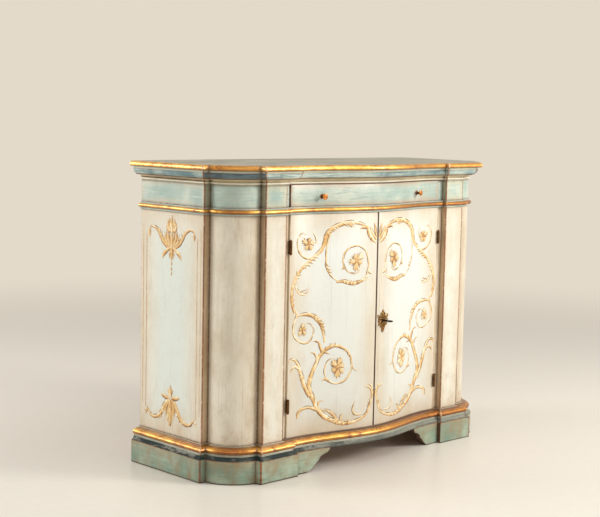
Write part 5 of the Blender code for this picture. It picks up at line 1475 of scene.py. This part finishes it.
def build_plate_ribs():
    """The scrolled ribs and the two leaves that stand out from the escutcheon's plate."""

    def surface(x, z, lift):
        return Vector((LOCK_X + x, bow_y(LOCK_X + x) - FIT - PLATE_THICKNESS - lift, LOCK_Z + z))

    # The ribs' shading goes into the worn layer, so the patina is lighter along each rib's crown and on its
    # upper side, a painted highlight
    painting = Painting(surface, layer="worn")
    for _, side in SIDES:
        for half, points in PLATE_RIBS:
            path = [(side * x * MM, z * MM) for x, z in points]
            painting.ribbon(path, lambda s: half * MM * (0.55 + 0.45 * bell(s)), 0.0, RIB_RELIEF, 4)
    for root, tip in PLATE_LEAVES:
        path = [(0, root * MM), (0, (root + tip) * MM / 2), (0, tip * MM)]
        painting.ribbon(path, lambda s: PLATE_LEAF_HALF * bell(0.06 + 0.9 * s), 0.1, PLATE_LEAF_RELIEF, 5)
    painting.finish("escutcheon_ribs", "right_door", m_ribs, "old_brass")


# One half of a side's ornament, from the panel's middle and the floor
SIDE_ARM = [(9, 698), (27, 705), (43, 715), (54, 730), (65, 745), (81, 756), (99, 758), (108, 751),
    (110, 741)]
SIDE_LOW_ARM = [(4, 221), (24, 206), (36, 189), (48, 171), (66, 159), (88, 155), (102, 161), (109, 170),
    (119, 167), (126, 156)]
# Leaves and petals: root, tip, half width, bend and tone
SIDE_PLUME = [
    ("leaf", (110, 748), (110, 724), 5.2, 0.0, -0.16),
    ("leaf", (8, 700), (43, 730), 5.0, -0.16, -0.20),
    ("leaf", (9, 702), (36, 743), 5.2, -0.16, 0.02),
    ("leaf", (7, 702), (27, 749), 5.0, -0.14, -0.24),
    ("leaf", (4, 700), (19, 754), 5.2, -0.14, 0.04),
    ("leaf", (2, 698), (10, 752), 4.2, -0.1, -0.24),
    ("leaf", (3, 748), (25, 765), 5.4, -0.26, -0.18),
    ("leaf", (3, 749), (22, 777), 5.8, -0.24, 0.02),
    ("leaf", (2, 752), (14, 788), 5.6, -0.20, -0.18),
    ("leaf", (1, 758), (8, 788), 3.4, -0.12, 0.14),
    ("leaf", (2, 697), (28, 680), 6.0, 0.12, -0.10),
    ("leaf", (16, 690), (48, 660), 7.6, 0.14, -0.04),
    ("leaf", (22, 684), (38, 668), 3.4, 0.1, -0.34),
    ("leaf", (2, 694), (10, 662), 4.4, 0.1, -0.12),
]
SIDE_PENDANT = [
    ("petal", (4, 224), (45, 232), 7.6, 0.0, -0.20),
    ("petal", (14, 229), (38, 234), 3.4, 0.0, 0.10),
    ("leaf", (3, 230), (14, 254), 6.4, 0.16, -0.12),
    ("leaf", (7, 216), (20, 168), 6.6, 0.10, -0.20),
    ("petal", (5, 214), (13, 152), 6.0, 0.0, -0.02),
]
SIDE_LINES = ((125, 735, 180, 0.9), (142, 762, 190, 0.7))
SIDE_MIDDLE_PLUME = [
    ("leaf", (0, 744), (0, 799), 6.4, 0.0, -0.02),
    ("petal", (0, 743), (0, 768), 5.0, 0.0, 0.12),
    ("leaf", (0, 694), (0, 752), 7.8, 0.0, -0.06),
    ("leaf", (0, 692), (0, 732), 4.2, 0.0, 0.22),
    ("leaf", (0, 698), (0, 656), 7.0, 0.0, -0.04),
]
SIDE_BEADS = ((648, 3.4), (632, 3.2), (617, 3.2))
SIDE_BEAD_HEIGHT = 0.0055
SIDE_MIDDLE_PENDANT = [
    ("leaf", (0, 228), (0, 268), 8.0, 0.0, 0.04),
    ("petal", (0, 222), (0, 138), 9.0, 0.0, -0.08),
    ("petal", (0, 204), (0, 150), 4.6, 0.0, 0.16),
    ("petal", (0, 158), (0, 137), 6.4, 0.0, -0.26),
]


def paint_side(word, side):
    """A plume above and a pendant below, with the two halves mirrored, and the painted lines of a panel."""
    middle = (CORNER_Y + BACK_Y) / 2
    painting = Painting(lambda u, v, lift: Vector((side * (HALF_WIDTH + lift), middle + u, v)))

    def lay(pieces, way):
        for kind, (u0, v0), (u1, v1), half, bend, tone in pieces:
            root, tip = (way * u0 * MM, v0 * MM), (way * u1 * MM, v1 * MM)
            if kind == "leaf":
                painting.leaf(root, tip, half * MM, way * bend, tone)
            else:
                painting.petal(root, tip, half * MM, tone)

    for way in (-1, 1):
        arm = painting.stroke([(way * u, v) for u, v in SIDE_ARM], (5.5, 5.0, 1.6))
        painting.fringe(arm, way, 0.12, 0.52, 4, 17, 2.8, 0.9)
        lay(SIDE_PLUME, way)
        low = painting.stroke([(way * u, v) for u, v in SIDE_LOW_ARM], (5.5, 5.5, 1.4))
        painting.fringe(low, -way, 0.15, 0.45, 4, 16, 2.8, 0.5)
        painting.fringe(low, way, 0.80, 0.97, 2, 12, 2.2, 0.2)
        lay(SIDE_PENDANT, way)
        for reach, top, foot, half in SIDE_LINES:
            painting.line([(way * reach * MM, top * MM), (way * reach * MM, foot * MM)], half * MM)
    lay(SIDE_MIDDLE_PLUME, 1)
    for v, half in SIDE_BEADS:
        painting.bead((0, v * MM), SIDE_BEAD_HEIGHT, half * MM, -0.15)
    lay(SIDE_MIDDLE_PENDANT, 1)
    painting.finish(f"{word}_side_ornament", "case", m_scroll, "cream_lacquer")


# Studio

BACKDROP = srgb(0.893, 0.854, 0.793)
FLOOR_RADIUS = 16.0
FLOOR_FADE = (2.2, 5.0)
WORLD_STRENGTH = 0.42
# Place, target, width and height, power and colour of each light
LIGHTS = {
    "front_softbox": ((1.95, -2.8, 1.95), (0.1, -0.1, 0.45), (1.0, 1.0), 85, (1, 0.985, 0.95)),
    "top_softbox": ((1.0, -1.5, 3.1), (0.0, -0.1, 0.5), (2.0, 1.4), 20, (1, 1, 1)),
    "side_softbox": ((-2.7, 2.5, 1.9), (-0.5, 0.0, 0.5), (1.6, 1.6), 70, (1, 1, 1)),
    "fill_softbox": ((-2.6, -2.2, 2.9), (-0.2, -0.1, 0.5), (2.4, 2.0), 19, (1, 1, 1)),
}
# The camera's place, its turns in radians, and its focal length over the picture's width
CAMERA_PLACE = (-3.16886, -3.16476, 1.11423)
CAMERA_PITCH, CAMERA_YAW, CAMERA_ROLL = 0.10618548542690873, 0.7632733698130286, 0.019922665820450977
FOCAL_SHARE = 1352.6747 / 600
SENSOR_WIDTH = 36.0


def seen_directly(tree):
    """1 for the rays that show the background itself: to the camera, in a reflection or through glass."""
    path = tree.nodes.new("ShaderNodeLightPath")
    share = path.outputs["Is Camera Ray"]
    for name in ("Is Glossy Ray", "Is Transmission Ray"):
        node = tree.nodes.new("ShaderNodeMath")
        node.operation = "MAXIMUM"
        tree.links.new(share, node.inputs[0])
        tree.links.new(path.outputs[name], node.inputs[1])
        share = node.outputs[0]
    return share


def mix_shaders(tree, share, one, other, output):
    node = tree.nodes.new("ShaderNodeMixShader")
    for socket, value in zip(node.inputs, (share, one, other)):
        tree.links.new(value, socket)
    tree.links.new(node.outputs[0], tree.nodes[output].inputs["Surface"])


def build_stage():
    """A round pale floor, which passes into the pale background some metres out, on every side."""
    bm = bmesh.new()
    bmesh.ops.create_circle(bm, cap_ends=True, segments=96, radius=FLOOR_RADIUS)
    graph = Graph("studio_floor")
    graph.layer(graph.noise(40, 3.0, 0.5).step(0.3, 0.7), (0.915, 0.887, 0.842), (0.925, 0.897, 0.852))
    for name, value in (("Base Color", graph.colour), ("Roughness", 0.30), ("Specular IOR Level", 0.35)):
        graph.put(graph.shader.inputs[name], value)
    far = Value(graph, graph.vector("LENGTH", graph.coordinates).outputs["Value"])
    glow = graph.add("ShaderNodeEmission")
    glow.inputs["Color"].default_value = BACKDROP
    share = far.step(*FLOOR_FADE) * seen_directly(graph.tree)
    mix_shaders(graph.tree, share.socket, graph.shader.outputs[0], glow.outputs[0], "Material Output")
    new_object("studio_floor", bm, [graph.material], 60)


def build_light():
    """Four soft lights, and a world that lights softly but shows the pale background."""
    for name, (place, target, size, power, colour) in LIGHTS.items():
        data = bpy.data.lights.new(name, "AREA")
        data.shape = "RECTANGLE"
        data.size, data.size_y = size
        data.energy = power
        data.color = colour
        obj = bpy.data.objects.new(name, data)
        obj.location = place
        obj.rotation_euler = (Vector(target) - Vector(place)).to_track_quat("-Z", "Y").to_euler()
        bpy.context.scene.collection.objects.link(obj)
    world = bpy.data.worlds.new("studio")
    world.use_nodes = True
    tree = world.node_tree
    soft = tree.nodes["Background"]
    soft.inputs["Color"].default_value = (1, 0.985, 0.955, 1)
    soft.inputs["Strength"].default_value = WORLD_STRENGTH
    pale = tree.nodes.new("ShaderNodeBackground")
    pale.inputs["Color"].default_value = BACKDROP
    mix_shaders(tree, seen_directly(tree), soft.outputs[0], pale.outputs[0], "World Output")
    bpy.context.scene.world = world


def build_camera():
    pitch, yaw, roll = CAMERA_PITCH, CAMERA_YAW, CAMERA_ROLL
    forward = Vector((math.sin(yaw) * math.cos(pitch), math.cos(yaw) * math.cos(pitch), -math.sin(pitch)))
    right = Vector((math.cos(yaw), -math.sin(yaw), 0))
    up = right.cross(forward)
    across = math.cos(roll) * right + math.sin(roll) * up
    upward = math.cos(roll) * up - math.sin(roll) * right
    camera = bpy.data.objects.new("camera", bpy.data.cameras.new("camera"))
    turn = Matrix((across, upward, -forward)).transposed().to_4x4()
    camera.matrix_world = Matrix.Translation(CAMERA_PLACE) @ turn
    camera.data.sensor_width = SENSOR_WIDTH
    camera.data.lens = FOCAL_SHARE * SENSOR_WIDTH
    bpy.context.scene.collection.objects.link(camera)
    bpy.context.scene.camera = camera


build_base_moulding()
build_waist_moulding()
build_cornice()
build_top()
build_uprights()
build_plinth()
build_fronts()
build_boards()
build_fittings()
for hand in SIDES:
    paint_door(*hand)
    paint_side(*hand)
build_stage()
build_light()
build_camera()
bpy.context.scene.view_settings.view_transform = "Standard"
